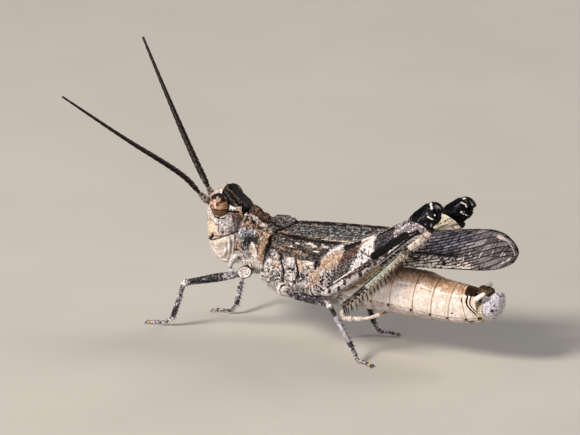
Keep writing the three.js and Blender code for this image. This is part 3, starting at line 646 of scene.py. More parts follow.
def make_eyes():
    paint = Paint("compound_eye", 0.24, Coat_Weight=0.35, Coat_Roughness=0.14)
    middle = paint.noise(6, 4, 0.65, seed=3, warp=0.6)
    base = paint.tones("55351f 8f6445 b98a66 d9b79d", paint.noise(5, 5, 0.72, seed=7))
    base = paint.mark(base, "38210f 6b4728 946a42", middle, "low", middle, 0.06, 0.3)
    # Pink painted highlights: pinkish reflections on the upper front of the eye.
    base = paint.mark(base, "cba797 f2dcd0", middle, "pink", paint.noise(5, 4, 0.7, seed=15), 0.06, 1.1)
    base = paint.mark(base, "090605 2a1812", middle, "dark", paint.noise(5, 4, 0.7, seed=22), 0.06, 1.0)
    facets = paint.cells(27, feature="DISTANCE_TO_EDGE", random=0.25)
    base = paint.mix(base, "000000", paint.times(paint.step(facets, 0.12, 0.03), 0.25))
    material = paint.finish(base, None, paint.step(facets, 0.0, 0.2), 0.5, 0.006)
    for side, sign in SIDES.items():
        shape = Shape()
        t, a = ring_grid(80, 120, 0.01, math.pi - 0.01)
        local = np.stack([np.sin(t) * np.cos(a), np.cos(t) * np.ones_like(a), np.sin(t) * np.sin(a)], axis=-1)
        P = local * [EYE["long"], EYE["wide"], EYE["high"]]
        turn = np.array([[math.cos(0.12), 0, -math.sin(0.12)], [0, 1, 0], [math.sin(0.12), 0, math.cos(0.12)]])
        P = P @ turn.T + [EYE["x"], sign * EYE["y"], EYE["z"]]
        x, z = P[..., 0], P[..., 2]
        edge = np.hypot(local[..., 0], local[..., 2])
        belt = z - 7.95 - 0.12 * (x - EYE["x"]) ** 2
        shape.tube(
            P, low=ease(belt, 0.03, -0.03),
            dark=most(
                marks(
                    x, z, (1, [(-10.66, 8.26), (-10.6, 8.42), (-10.42, 8.46), (-10.3, 8.66)], 0.055),
                    (1, (-10.28, 8.6), (0.2, 0.12)), (1.1, [(-11.05, 8.66), (-10.75, 8.82), (-10.3, 8.78)], 0.09),
                    (0.8, [(-11.15, 8.42), (-10.95, 8.6), (-10.7, 8.66)], 0.035), (0.56, (-10.9, 8.45), (0.1, 0.14)),
                    (0.8, [(-10.5, 8.78), (-10.2, 8.74)], 0.05)),
                1.1 * bell(belt, 0.04), ease(edge, 0.9, 0.99) * 0.9),
            # The pink marks are painted highlights, pinkish reflections on the upper front of the eye.
            pink=marks(
                x, z, (1, [(-10.85, 8.5), (-10.8, 8.3), (-10.74, 8.14)], 0.1), (0.9, (-11.08, 8.3), (0.1, 0.06)),
                (0.8, (-10.95, 8.62), (0.16, 0.05)), (0.56, (-10.5, 8.1), (0.4, 0.1))),
        )
        shape.piece(f"compound_eye_{side}", material, "eye", f"eye_{side}")


def make_ocelli():
    shape = Shape()
    for x, y, z, r in ((-11.83, 0, 7.72, 0.075), (-11.42, -0.42, 8.52, 0.07), (-11.42, 0.42, 8.52, 0.07)):
        t, a = ring_grid(14, 24, 0.05, math.pi - 0.05)
        ball = np.stack([np.sin(t) * np.cos(a), np.sin(t) * np.sin(a), np.cos(t)], axis=-1)
        shape.tube(np.array([x, y, z]) + r * ball)
    paint = Paint("ocellus", 0.12, Coat_Weight=0.6, Coat_Roughness=0.08)
    base = paint.ramp(paint.noise(12, 3, seed=2), (0.3, "b98a52"), (0.7, "e8d2a8"))
    shape.piece("ocelli", paint.finish(base, None, paint.noise(20, 2), 0.2, 0.004), "eye")


def mouth_grid(angle_from, angle_to, low, steps=90, columns=90):
    """A patch of the head's outline under the joint: t is 0 at the joint and 1 at the height low(angle share)."""
    t, k = flat_grid(steps, columns)
    a = lerp(angle_from, angle_to, k)
    top = mouth_height(a[0], -0.045)
    z = lerp(top[None], np.broadcast_to(low(k), t.shape), t)
    return head_points(z, a), t, k


def rim_distance(t, k):
    """How far a place on a patch is from its nearest edge, as a share of the patch."""
    return np.minimum(np.minimum(t, 1 - t), np.minimum(k, 1 - k))


def make_mouth():
    cream = Paint("mouth_shell", 0.22, Coat_Weight=0.3, Coat_Roughness=0.15)
    across = cream.field("across")
    wobble = cream.noise(3.5, 4, 0.6, seed=4)
    base = cream.tones("b9a99b dccfc4 f3ede6", wobble)
    ridges = cream.math("SINE", cream.times(cream.add(across, cream.times(wobble, 0.12)), 30.0))
    streak = cream.times(cream.step(ridges, 0.0, 0.9), cream.field("streaks"))
    base = cream.mix(base, "9c9186", cream.times(streak, 0.55))
    base = cream.mark(
        base, "a8957f c9b8a4", cream.noise(8, 3, seed=9), "tan", cream.noise(5, 4, 0.7, seed=8), 0.1, 1.5,
    )
    base = cream.mix(base, "fdfcfa", cream.mask("pale", cream.noise(6, 3, seed=17), 0.08, 0.8))
    base = cream.mix(base, "0d0908", cream.mask("dark", cream.noise(7, 4, seed=12), 0.1, 0.7))
    pale = cream.finish(base, None, cream.add(ridges, cream.noise(16, 3, seed=6)), 0.22, 0.02)

    lower = Shape()
    t, a = ring_grid(60, 90)
    top = mouth_height(a[0], 0.06)
    core = head_points(lerp(4.2, top[None], t), a)
    core = relief(core, np.full(t.shape, -0.1), wrap=True)
    lower.tube(core, dark=0.5 + 1.1 * noise(core, 6, 33, 2), tan=1.0)
    for side, sign in SIDES.items():
        shape = Shape()
        start, end = math.pi - sign * 0.52, math.pi - sign * 2.72
        P, t, k = mouth_grid(start, end, lambda k: 4.34 + 0.55 * ease(k, 0.3, 0.0) + 0.42 * ease(k, 0.62, 1.0))
        rim = np.minimum(np.minimum(t, 1 - t) * 1.3, np.minimum(k, 1 - k) * 2.2)
        dome = 0.14 * np.sqrt(np.clip(rim * 5, 0, 1)) - 0.05
        depth = np.hypot((k - 0.42) * 1.9, (t - 0.3) * 1.05)
        grooves = (
            0.02 * np.sin(depth * 34 + 2.2 * noise(P, 2.2, 3, 2)) * ease(depth, 0.18, 0.42) * ease(rim, 0.02, 0.12)
        )
        P = relief(P, dome + grooves + 0.008 * noise(P, 7, 2, 2), sign=sign)
        x, z = P[..., 0], P[..., 2]
        # Black rims of the jaw; the black along its back edge (k near 1) is painted shade in the gap behind the jaw.
        rimmed = most(
            0.95 * ease(t, 0.9, 0.96) * ease(k, 0.12, 0.3), 0.9 * ease(k, 0.93, 0.97),
            0.9 * ease(t, 0.03, 0.01) * ease(noise(P, 6, 34, 2), 0.0, 0.15),
        )
        shape.plate(
            P, 0.1, flip=(sign < 0), across=depth, streaks=ease(depth, 0.2, 0.45), dark=rimmed,
            tan=marks(x, z, (0.62, (-10.45, 5.7), (0.5, 0.3)), (0.7, (-10.1, 5.15), (0.2, 0.3))),
            # The first pale stroke is a painted highlight, a white curve across the jaw.
            pale=marks(
                x, z, (1, [(-9.95, 5.75), (-10.05, 5.5), (-10.25, 5.3)], 0.07),
                (0.8, [(-10.95, 5.3), (-10.6, 4.75), (-10.2, 4.62)], 0.06)),
        )
        shape.piece(f"jaw_{side}", pale, "pale_shell", f"mandible_{side}")
    for node, angle, low, tan in (("clypeus", 0.5, 5.03, 0.75), ("labrum", 0.46, 4.5, 0.15)):
        shape = Shape()
        if node == "labrum":
            t, k = flat_grid(60, 60)
            z = lerp(4.99, low + 0.22 * (2 * k - 1) ** 2, t)
            P = head_points(z, lerp(math.pi - angle, math.pi + angle, k))
        else:
            P, t, k = mouth_grid(math.pi - angle, math.pi + angle, lambda k: np.full(k.shape, low), 50, 60)
        rim = rim_distance(t, k)
        P = relief(P, 0.1 * np.sqrt(np.clip(rim * 6, 0, 1)) - 0.02 + 0.01 * noise(P, 6, 8, 3), sign=-1)
        corner = (
            bell(np.hypot((np.abs(2 * k - 1) - 0.95) / 0.35, (t - 0.15) / 0.5), 1) if node == "clypeus" else 0 * t
        )
        shape.plate(
            P, 0.1, flip=True, tan=tan * ease(t, 1.2, 0.5), dark=np.maximum(0.95 * corner, 0.6 * ease(t, 0.9, 1.0)),
            across=t, streaks=0,
        )
        shape.piece(f"{node}_plate", pale, "shell" if node == "clypeus" else "pale_shell", node)
    t, k = flat_grid(50, 60)
    a = lerp(-0.62, 0.62, k)
    P = head_points(lerp(5.55, 4.2, t), a)
    rim = rim_distance(t, k)
    P = relief(P, 0.12 * np.sqrt(np.clip(rim * 5, 0, 1)) - 0.06 * bell(k - 0.5, 0.03) - 0.04, sign=-1)
    lower.plate(P, 0.1, flip=True, dark=0.2, tan=0.45)
    lower.piece("labium_plate", pale, "pale_shell", "labium")


def bead_string(shape, path, radii, lengths, sides=20, up=(0, 0, 1), flat=1.0, pinch=0.25):
    """A jointed thread: short round-ended segments in a row, each with its radius and its share of the length."""
    shares = np.cumsum([0, *lengths]) / sum(lengths)
    dense, length = spline(path, 400)
    for i, radius in enumerate(radii):
        a, b = shares[i], shares[i + 1]
        pad = pinch * radius / length
        places = np.linspace(max(0, a - pad), min(1, b + pad), 5)
        line = np.stack([np.interp(places, np.linspace(0, 1, 400), dense[:, n]) for n in range(3)], axis=-1)
        wide = lambda t, r=radius: r * (0.94 + 0.08 * np.sin(math.pi * np.clip(t, 0, 1)))
        deep = lambda t, wide=wide: flat * wide(t)
        tip = 0.35 * radius
        P, s, _ = limb(line, wide, deep, up=up, sides=sides, steps=14, round_a=tip, round_b=tip)
        shape.tube(P, end=np.maximum(ease(s, 0.12, 0.0), ease(s, 0.88, 1.0)), row=i / max(1, len(radii) - 1))


def make_palps():
    paint = Paint("palp_shell", 0.35)
    base = paint.tones("8f8a8d cfc9c8 f6f3f0", paint.noise(7, 4, 0.65, seed=3))
    base = paint.mix(base, "6d5c4e", paint.times(paint.step(paint.field("end"), 0.4, 0.9), 0.5))
    pale = paint.finish(base, None, paint.noise(22, 3, seed=5), 0.35, 0.01)
    for side, sign in SIDES.items():
        shape = Shape()
        path = [
            (-9.5, sign * 0.82, 5.15), (-9.7, sign * 0.9, 4.82), (-9.95, sign * 0.92, 4.42),
            (-10.03, sign * 0.9, 4.08), (-9.8, sign * 0.88, 3.92),
        ]
        bead_string(shape, path, [0.18, 0.18, 0.16, 0.15, 0.14], [0.5, 0.6, 1.1, 1.0, 0.9])
        inner = [(-10.05, sign * 0.45, 4.5), (-10.12, sign * 0.55, 4.2), (-10.22, sign * 0.52, 3.98)]
        bead_string(shape, inner, [0.1, 0.1, 0.1], [0.6, 0.8, 1.0])
        shape.piece(f"palps_{side}", pale, "pale_shell", f"palp_{side}")


# ---- Feelers ----
FEELERS = {
    "left": [(-12.22, -0.62, 8.6), (-13.06, -1, 9.62), (-16.04, -3.4, 12.48), (-19, -5.85, 15.45)],
    "right": [(-12.22, 0.62, 8.6), (-13.5, 1.35, 10.05), (-16.6, 3.75, 13.2), (-19.2, 5.9, 15.8)],
}
FEELER_JOINTS = 23
FEELER_WIDE = through((0, 0.15), (0.08, 0.2), (0.3, 0.19), (0.6, 0.135), (0.9, 0.09), (1, 0.07))


def make_feelers():
    paint = Paint("feeler_shell", 0.42)
    row, end = paint.field("row"), paint.field("end")
    base = paint.ramp(paint.noise(8, 4, 0.7, seed=3), (0.32, "050303"), (0.52, "17100d"), (0.72, "3f3533"))
    base = paint.mix(
        base, "62585f", paint.times(paint.step(paint.noise(2.2, 3, seed=9), 0.55, 0.66), paint.step(row, 0.35, 0.02)),
    )
    base = paint.mix(
        base, "8f7b6c", paint.times(paint.step(end, 0.25, 0.95), paint.ramp(row, (0.0, "c0c0c0"), (0.5, "606060"))),
    )
    dark = paint.finish(base, None, paint.add(paint.noise(24, 3, seed=5), paint.cells(30)), 0.4, 0.01)
    paint = Paint("scape_shell", 0.4)
    base = paint.ramp(paint.noise(6, 4, 0.7, seed=13), (0.4, "2c2220"), (0.54, "83726c"), (0.7, "d6c9c2"))
    pale = paint.finish(base, None, paint.noise(20, 3, seed=5), 0.4, 0.012)
    for side, sign in SIDES.items():
        scape = Shape()
        path = [
            (-11.6, sign * 0.44, 8.06), (-11.82, sign * 0.47, 8.16), (-12.02, sign * 0.54, 8.35),
            (-12.22, sign * 0.62, 8.6),
        ]
        bead_string(scape, path, [0.22, 0.16], [1.35, 0.7], sides=28)
        scape.piece(f"feeler_root_{side}", pale, "pale_shell", f"antenna_base_{side}")
        feeler = Shape()
        lengths = [0.5, *np.linspace(0.75, 1.35, FEELER_JOINTS - 1)]
        centres = (np.cumsum(lengths) - np.array(lengths) / 2) / sum(lengths)
        radii = FEELER_WIDE(centres) * np.where(np.arange(FEELER_JOINTS) == 0, 0.85, 1.0)
        wide_side = (0.4, -0.86, 0.33) if side == "right" else (-0.5, 0.4, -0.8)
        bead_string(feeler, FEELERS[side], radii, lengths, sides=16, up=wide_side, flat=0.6, pinch=0.12)
        feeler.piece(f"feeler_{side}", dark, "feeler", f"antenna_{side}")


# ---- Pronotum ----
# q runs from 0 on the crest to 1 at the lower edge of the right lobe and -1 at that of the left one, and u from 0 at
# the front to 1 at the back.
LOBE_Z = 4.52
SHIELD_FRONT = through(
    (0, -9.02), (0.4, -9.12), (0.5, -9.14), (0.58, -9.22), (0.7, -9.38), (0.76, -9.4), (0.89, -9.22), (1, -8.72),
)
SHIELD_BACK = through(
    (0, -5.9), (0.08, -6.0), (0.28, -6.5), (0.38, -6.84), (0.5, -7.02), (0.67, -7.22), (0.8, -7.38), (0.93, -7.52),
    (1, -7.62),
)
SHIELD_CREST = through((0, 7.95), (0.08, 8.03), (0.16, 7.95), (0.23, 7.8), (0.27, 7.56), (0.32, 7.64), (0.4, 7.54),
    (0.45, 7.34), (0.6, 7.6), (0.8, 7.66), (1, 7.5))
SHIELD_ROOF = through((0, 7.84), (0.2, 7.64), (0.45, 7.3), (0.65, 7.48), (1, 7.4))
RIDGE_Y = through((0, 0.66), (0.45, 0.7), (0.7, 1), (1, 1.35))
RIDGE_Z = through((0, 7.62), (0.45, 7.12), (0.7, 7.08), (1, 7.02))
FLANK_Y = through((0, 1.42), (0.5, 1.6), (1, 1.72))


def knots_between(q, places, values):
    """Straight runs from value to value, where each value may differ along the grid."""
    result = values[0] + 0 * q
    for (a, b), v, w in zip(zip(places, places[1:]), values, values[1:]):
        result = np.where(q > a, lerp(v, w, np.clip((q - a) / (b - a), 0, 1)), result)
    return result


def smooth_columns(value, passes):
    """Softens the corners of a grid of values across its columns."""
    for _ in range(passes):
        padded = np.pad(value, ((0, 0), (1, 1)), mode="edge")
        value = (padded[:, :-2] + 2 * value + padded[:, 2:]) / 4
    return value


def pronotum_points(u, q):
    a = np.abs(q)
    ry, rz, fy = RIDGE_Y(u), RIDGE_Z(u), FLANK_Y(u)
    y = knots_between(
        a, [0, 0.06, 0.4, 0.46, 0.56, 0.72, 1], [0 * u, 0.1, ry, ry + 0.06, lerp(ry, fy, 0.66), fy, 1.32],
    )
    z = knots_between(a, [0, 0.06, 0.33, 0.4, 0.46, 0.56, 0.72, 1],
        [SHIELD_CREST(u), SHIELD_ROOF(u), rz + 0.08 * u, rz, rz - 0.12, 6.76, 6.0, LOBE_Z])
    x = lerp(SHIELD_FRONT(a), SHIELD_BACK(a), u)
    return np.stack([x, np.sign(q) * y, z], axis=-1)


def make_pronotum():
    shape = Shape()
    u, q = flat_grid(170, 371, -1)
    a = np.abs(q)
    P = pronotum_points(u, q)
    P[..., 1] = smooth_columns(P[..., 1], 18)
    P[..., 2] = lerp(smooth_columns(P[..., 2], 26), P[..., 2], np.exp(-((a / 0.035) ** 2)))
    lobe, cut = ease(a, 0.5, 0.6), ease(a, 0.01, 0.06)
    groove_1 = u - (0.27 + 0.06 * np.sin(a * 9) * ease(a, 0.45, 0.6) - 0.02 * a)
    groove_2 = u - (0.45 - 0.05 * ease(a, 0.1, 0.4) + 0.1 * ease(a, 0.45, 0.75) - 0.05 * ease(a, 0.8, 1.0))
    groove_3 = u - (0.12 + 0.03 * np.sin(a * 7))
    height = (
        -0.08 * bell(groove_2, 0.016) * (0.5 + 0.5 * cut) * (1 - 0.6 * lobe)
        - 0.06 * bell(groove_1, 0.014) * cut * ease(a, 0.95, 0.85)
    )
    height -= 0.035 * bell(groove_3, 0.012) * band(a, 0.4, 0.9, 0.06)
    height += 0.03 * bell(groove_2 + 0.035, 0.02) + 0.025 * bell(groove_1 - 0.03, 0.018)
    broken = 1 - 0.8 * np.maximum(bell(groove_1, 0.03), bell(groove_2, 0.03))
    height += 0.095 * bell(a - 0.4 - 0.012 * np.sin(u * 17), 0.022) * broken
    height += 0.04 * ease(noise(P, 6.5, 3, 2), 0.15, 0.6) * band(a, 0.33, 0.47, 0.03)
    height += ease(u, 0.47, 0.56) * ease(a, 0.44, 0.36) * (0.02 * ease(noise(P, 8.5, 7, 2), 0.05, 0.5) - 0.005)
    height += 0.05 * ease(u, 0.035, 0.0) + 0.045 * ease(u, 0.965, 1.0) + 0.045 * ease(a, 0.965, 1.0)
    height += lobe * (
        0.14 * ease(spot(u, a, (0.62, 0.76), (0.1, 0.055), 0.5), 0.2, 0.8)
            - 0.06 * ease(spot(u, a, (0.5, 0.68), (0.2, 0.06)), 0.3, 0.7)
    )
    height += lobe * 0.06 * ease(noise(P, 4.2, 13, 2), 0.1, 0.5)
    height += 0.025 * noise(P, 3, 5, 3) * ease(a, 0.0, 0.25) + 0.014 * noise(P, 11, 6, 2)
    P = relief(P, height)
    top = ease(a - 0.17 * ease(u, 0.45, 0.55), 0.25, 0.2)
    shape.plate(
        P, 0.12, top=top, front=most(top * ease(u, 0.62, 0.3), 0.45 * band(a, 0, 0.1, 0.02) * ease(u, 0.7, 0.4)),
        ridge=marks(
            u, a, (1.3, [(0.0, 0.32), (0.2, 0.3), (0.42, 0.32), (0.6, 0.35)], 0.06),
            (0.5, [(0.5, 0.37), (0.75, 0.385), (1.02, 0.44)], 0.05)),
        tan=most(
            marks(
                u, a, (0.9, [(1.0, 0.5), (0.94, 0.62), (0.9, 0.8), (0.94, 0.97)], 0.08),
                (1, (0.5, 0.43), (0.1, 0.025)), (1, [(0.12, 0.49), (0.45, 0.49)], 0.02),
                (1, (0.12, 0.76), (0.08, 0.025)), (1, [(0.0, 0.985), (0.5, 0.995)], 0.01)),
            0.9 * ease(u, 0.975, 0.985)),
        lilac=marks(
            u, a, (1, (0.38, 0.55), (0.24, 0.03)), (1, (0.42, 0.78), (0.12, 0.03)), (1, (0.33, 0.67), (0.1, 0.05)),
            (1, (0.06, 0.6), (0.06, 0.08)), (1, (0.3, 0.85), (0.25, 0.03))),
        white=2.0 * spot(u, a, (0.63, 0.76), (0.1, 0.055), 0.4),
        blue=marks(u, a, (1.1, (0.28, 0.605), (0.17, 0.05)), (0.8, (0.3, 0.72), (0.14, 0.03))),
        pale=most(
            marks(
                u, a, (1.1, (0.55, 0.91), (0.32, 0.07)), (1, (0.1, 0.83), (0.16, 0.03)),
                (0.55, (0.8, 0.62), (0.1, 0.08))),
            0.62 * ease(a, 0.86, 0.93)),
        black=most(
            marks(
                u, a, (1.2, (0.55, 0.65), (0.19, 0.05), -0.1), (1.1, (0.36, 0.66), (0.09, 0.05)),
                (0.95, (0.36, 0.745), (0.13, 0.018)), (0.95, (0.05, 0.72), (0.05, 0.014)),
                (1, (0.05, 0.79), (0.06, 0.014)), (1, (0.63, 0.835), (0.06, 0.012)),
                (1, [(0.0, 0.475), (0.15, 0.47)], 0.012), (1, [(0.4, 0.465), (0.7, 0.475)], 0.01),
                (1, (0.55, 0.475), (0.08, 0.02)), (1, (0.04, 0.24), (0.05, 0.05)), (1, (0.39, 0.25), (0.05, 0.07)),
                (1, (0.55, 0.25), (0.13, 0.05)), (1, (0.85, 0.27), (0.16, 0.03)), (1, (0.27, 0.43), (0.05, 0.03)),
                (1, [(0, 0.965), (0.3, 0.975)], 0.006)),
            0.62 * bell(groove_2, 0.01) * (1 - 0.75 * lobe), 0.6 * bell(groove_1, 0.01) * ease(a, 0.3, 0.2)),
        dots=most(0.45 * lobe * (1 - ease(spot(u, a, (0.67, 0.765), (0.1, 0.06)), 0.2, 0.4)), 0.9 * (1 - lobe)),
    )
    shell = mottle(
        "shield_shell", "1d1411 5f4a3e 9a7f70 d0bdb0",
        [
            ("tan", "60432f a48368 d6bda8", 1.9), ("lilac", "5f5b63 a3a1aa e6e6ee", 1.8),
            ("top", "0e0b0a 363130 625c5a 9a9392", 0.9), ("front", "1c120e 4a352a 755a49", 1.4),
            ("ridge", "7b6c66 bfafa7 dfd3cb", 1.8), ("blue", "15171d 4f545f a3a7b3", 2.0),
            ("pale", "948680 c4b9b3 e6ded9", 1.5), ("black", "030202 0d0b0b 2b2827", 1.9),
            ("white", "ae9788 ddccc0 f6eee8", 1.1)],
        grain=1.25, dots="dots", lines=0.7, gloss=0.42, bump=0.7,
    )
    shape.piece("pronotum_shield", shell, "shell", "pronotum")


def make_prosternum():
    shape = Shape()
    low = through((-9.3, 4.3), (-9, 3.96), (-8.4, 3.8), (-7.9, 3.92))
    t, a = ring_grid(60, 90)
    x = lerp(-9.28, -7.9, t)
    swell = np.sqrt(np.clip(1 - (2 * t - 1) ** 6, 0.05, 1))
    top = LOBE_Z + 0.1
    z = (low(x) + top) / 2 + (top - low(x)) / 2 * power(np.sin(a), 0.8) * swell
    P = np.stack([x, 0.93 * power(np.cos(a), 0.8) * swell, z], axis=-1)
    P = relief(
        P, 0.03 * noise(P, 3, 2, 3) - 0.05 * bell(P[..., 0] + 8.6, 0.05) * ease(-P[..., 2], -4.4, -4.1), wrap=True,
    )
    shape.tube(P, pale=0.5, dark=0.3)
    shape.piece("throat_plate", SHELL, "shell", "prosternum")


# ---- Thorax and abdomen ----
TRUNK_TOP = through(
    (-7.8, 6.1), (-6, 6.45), (-4, 6.2), (-2.3, 5.6), (0, 5.5), (2.6, 5.5), (3.7, 5.2), (5, 5.04), (6.2, 4.98),
    (7, 4.8),
)
TRUNK_LOW = through(
    (-7.8, 3.5), (-7.5, 3.3), (-6.9, 3.08), (-6, 2.96), (-4.5, 2.88), (-3.2, 2.82), (-2, 2.7), (-0.7, 2.6), (2, 2.55),
    (4.5, 2.55), (5.8, 2.66), (6.7, 2.92), (7, 3.1),
)
TRUNK_HALF = through(
    (-7.8, 1.38), (-7, 1.52), (-5.5, 1.62), (-4, 1.58), (-2.6, 1.32), (-1.2, 1.2), (2, 1.2), (4.5, 1.08), (6, 0.94),
    (7, 0.78),
)
ABDOMEN_JOINTS = [-2.3, -1.3, -0.25, 0.92, 2.45, 3.65, 4.78, 5.72, 6.5]
ABDOMEN_LEAN = 0.13


def trunk_points(x, angle, bend, lean=0.0, grow=1.0):
    """A section across the trunk: angle 0 is the animal's right, a quarter turn is up."""
    top, low = TRUNK_TOP(x), TRUNK_LOW(x)
    c, s = power(np.cos(angle), bend), power(np.sin(angle), bend)
    return np.stack([
        x + lean * (top - low) / 2 * s * grow, TRUNK_HALF(x) * grow * c, (top + low) / 2 + (top - low) / 2 * grow * s,
    ], axis=-1)


# Joints between the side plates of the thorax, as (x, z) lines seen from the side.
THORAX_JOINTS = [
    ([(-7.38, 6.2), (-7.42, 5.6), (-7.5, 5.1)], 0.035),
    ([(-6.35, 6.1), (-6.25, 5.6), (-6.16, 5.1), (-6.05, 4.6), (-6.06, 3.75)], 0.05),
    ([(-5.35, 6.1), (-5.3, 5.5), (-5.08, 5.0), (-5.02, 4.75), (-5.2, 4.3), (-5.42, 3.95)], 0.05),
    ([(-5.2, 4.75), (-4.85, 4.68), (-4.72, 4.45), (-4.95, 4.25), (-5.25, 4.2)], 0.035),
    ([(-4.1, 6.0), (-3.95, 5.4), (-3.8, 5.1), (-4.0, 4.3)], 0.045),
    ([(-7.6, 4.0), (-6.9, 4.05), (-6.4, 4.4), (-6.1, 4.4)], 0.025),
    ([(-7.3, 3.7), (-6.8, 3.95), (-6.4, 4.1), (-6.1, 4.0)], 0.03),
]


def make_thorax():
    shape = Shape()
    t, a = ring_grid(240, 310)
    x = lerp(-7.75, -2.35, t)
    P = trunk_points(x, a, 2 / 2.7)
    y, z = np.abs(P[..., 1]), P[..., 2]
    side, under = ease(y, 0.5, 0.9), ease(z, 3.7, 3.3)
    wx, wz = x + 0.08 * noise(P, 1.9, 3, 3), z + 0.08 * noise(P, 1.9, 4, 3)
    joints = most(*[ease(stroke(wx, wz, path, width), 0.2, 0.9) for path, width in THORAX_JOINTS]) * side
    swell = most(
        *[ease(stroke(wx + 0.11, wz, path, 1.7 * width), 0.1, 0.9) for path, width in THORAX_JOINTS[:5]]
    ) * side
    height = 0.05 * swell - 0.1 * joints
    ripple = np.sin(24 * (0.6 * np.hypot(x + 6.0, z - 2.9) + 0.12 * noise(P, 1.4, 9, 2)))
    fan = band(z, 2.9, 4.3, 0.15) * ease(x, -7.5, -7.2) * ease(x, -4.2, -4.6)
    height += 0.03 * ripple * fan
    arcs = 0 * x
    for middle_x, middle_z, way in ((-6.3, 3.75, -0.4), (-4.66, 4.16, -0.3), (-6.75, 4.35, 0.2)):
        away = np.hypot(wx - middle_x, wz - middle_z)
        arcs = (
            arcs
            + np.cos(away * TURN / 0.17) * band(away, 0.16, 0.62, 0.06)
                * ease(wz - middle_z + way * (wx - middle_x), -0.1, 0.1) * side
        )
    height += 0.03 * arcs
    sockets = 0 * x
    for hip_x, size in ((-6.05, 0.5), (-4.25, 0.6)):
        away = np.hypot((x - hip_x) / size, (z - 3.45) / (0.75 * size))
        height += side * (0.05 * bell(away - 1.1, 0.12) - 0.06 * ease(away, 1.0, 0.8))
        sockets = np.maximum(sockets, 0.75 * bell(away - 0.98, 0.1) * side)
    height -= under * (0.05 * bell(x + 5.2, 0.05) + 0.04 * bell(y - 0.55, 0.05) * ease(x, -7.0, -6.7))
    height += 0.05 * ease(noise(P, 3.4, 21, 3), -0.05, 0.45) + 0.015 * noise(P, 9, 22, 2)
    P = relief(P, height, wrap=True)
    shape.tube(
        P,
        tan=side * most(
            marks(
                wx, wz, (1, (-6.62, 5.02), (0.27, 0.2), 0.3), (1, [(-5.35, 5.85), (-5.1, 5.45), (-4.95, 5.05)], 0.2),
                (1, [(-4.8, 5.32), (-4.25, 5.4)], 0.12), (1, [(-4.15, 5.0), (-4.3, 4.15)], 0.11),
                (0.8, [(-5.85, 4.7), (-5.85, 4.0)], 0.05), (0.75, [(-6.5, 5.6), (-6.45, 5.3)], 0.08)),
            0.4 * ease(x, -7.55, -7.68)),
        pale=side * most(
            marks(
                wx, wz, (1.2, (-5.62, 5.33), (0.26, 0.2), 0.6), (1, (-4.35, 5.45), (0.22, 0.13)),
                (1, (-4.68, 4.05), (0.2, 0.18)), (1.1, (-4.8, 3.45), (0.34, 0.14)), (0.9, (-5.9, 3.35), (0.4, 0.16)),
                (0.8, (-6.9, 3.4), (0.5, 0.2)), (1, (-6.27, 4.92), (0.08, 0.14)),
                (0.8, [(-6.9, 3.6), (-6.3, 4.2)], 0.09), (0.75, [(-5.5, 4.6), (-5.6, 3.9)], 0.09)),
            0.7 * ease(arcs, 0.2, 0.7), 0.8 * spot(x, z, (-7.15, 5.2), (0.2, 0.12))),
        dark=most(
            joints, sockets, 0.72 * ease(-arcs, 0.2, 0.7),
            side * 0.8 * marks(
                wx, wz, (1, (-5.6, 4.9), (0.35, 0.12)), (1, (-4.9, 3.7), (0.3, 0.12)), (1, (-4.2, 3.6), (0.2, 0.2)),
                (1, (-5.4, 3.3), (0.3, 0.1)), (1, (-6.4, 5.75), (0.2, 0.12)), (1, (-6.1, 5.5), (0.12, 0.12)),
                (1, (-5.05, 4.55), (0.2, 0.15)), (1, (-3.9, 5.35), (0.14, 0.28))),
            0.46 * ease(ripple, -0.2, -0.9) * fan),
        dots=0.45 * ease(side, 0.2, 0.8),
    )
    shell = mottle(
        "thorax_shell", "25201e 7d7471 b0a7a4 d5cdca f0ebe8",
        [
            ("tan", "856a56 bfa18a e2cebc", 1.7), ("pale", "b8aca6 e8e0dc fbf8f6", 1.7),
            ("dark", "060404 151110 332b28", 1.7)],
        grain=1.05, dots="dots", lines=0.85, gloss=0.46, bump=0.7,
    )
    shape.piece("thorax_shell", shell, "shell", "pterothorax")


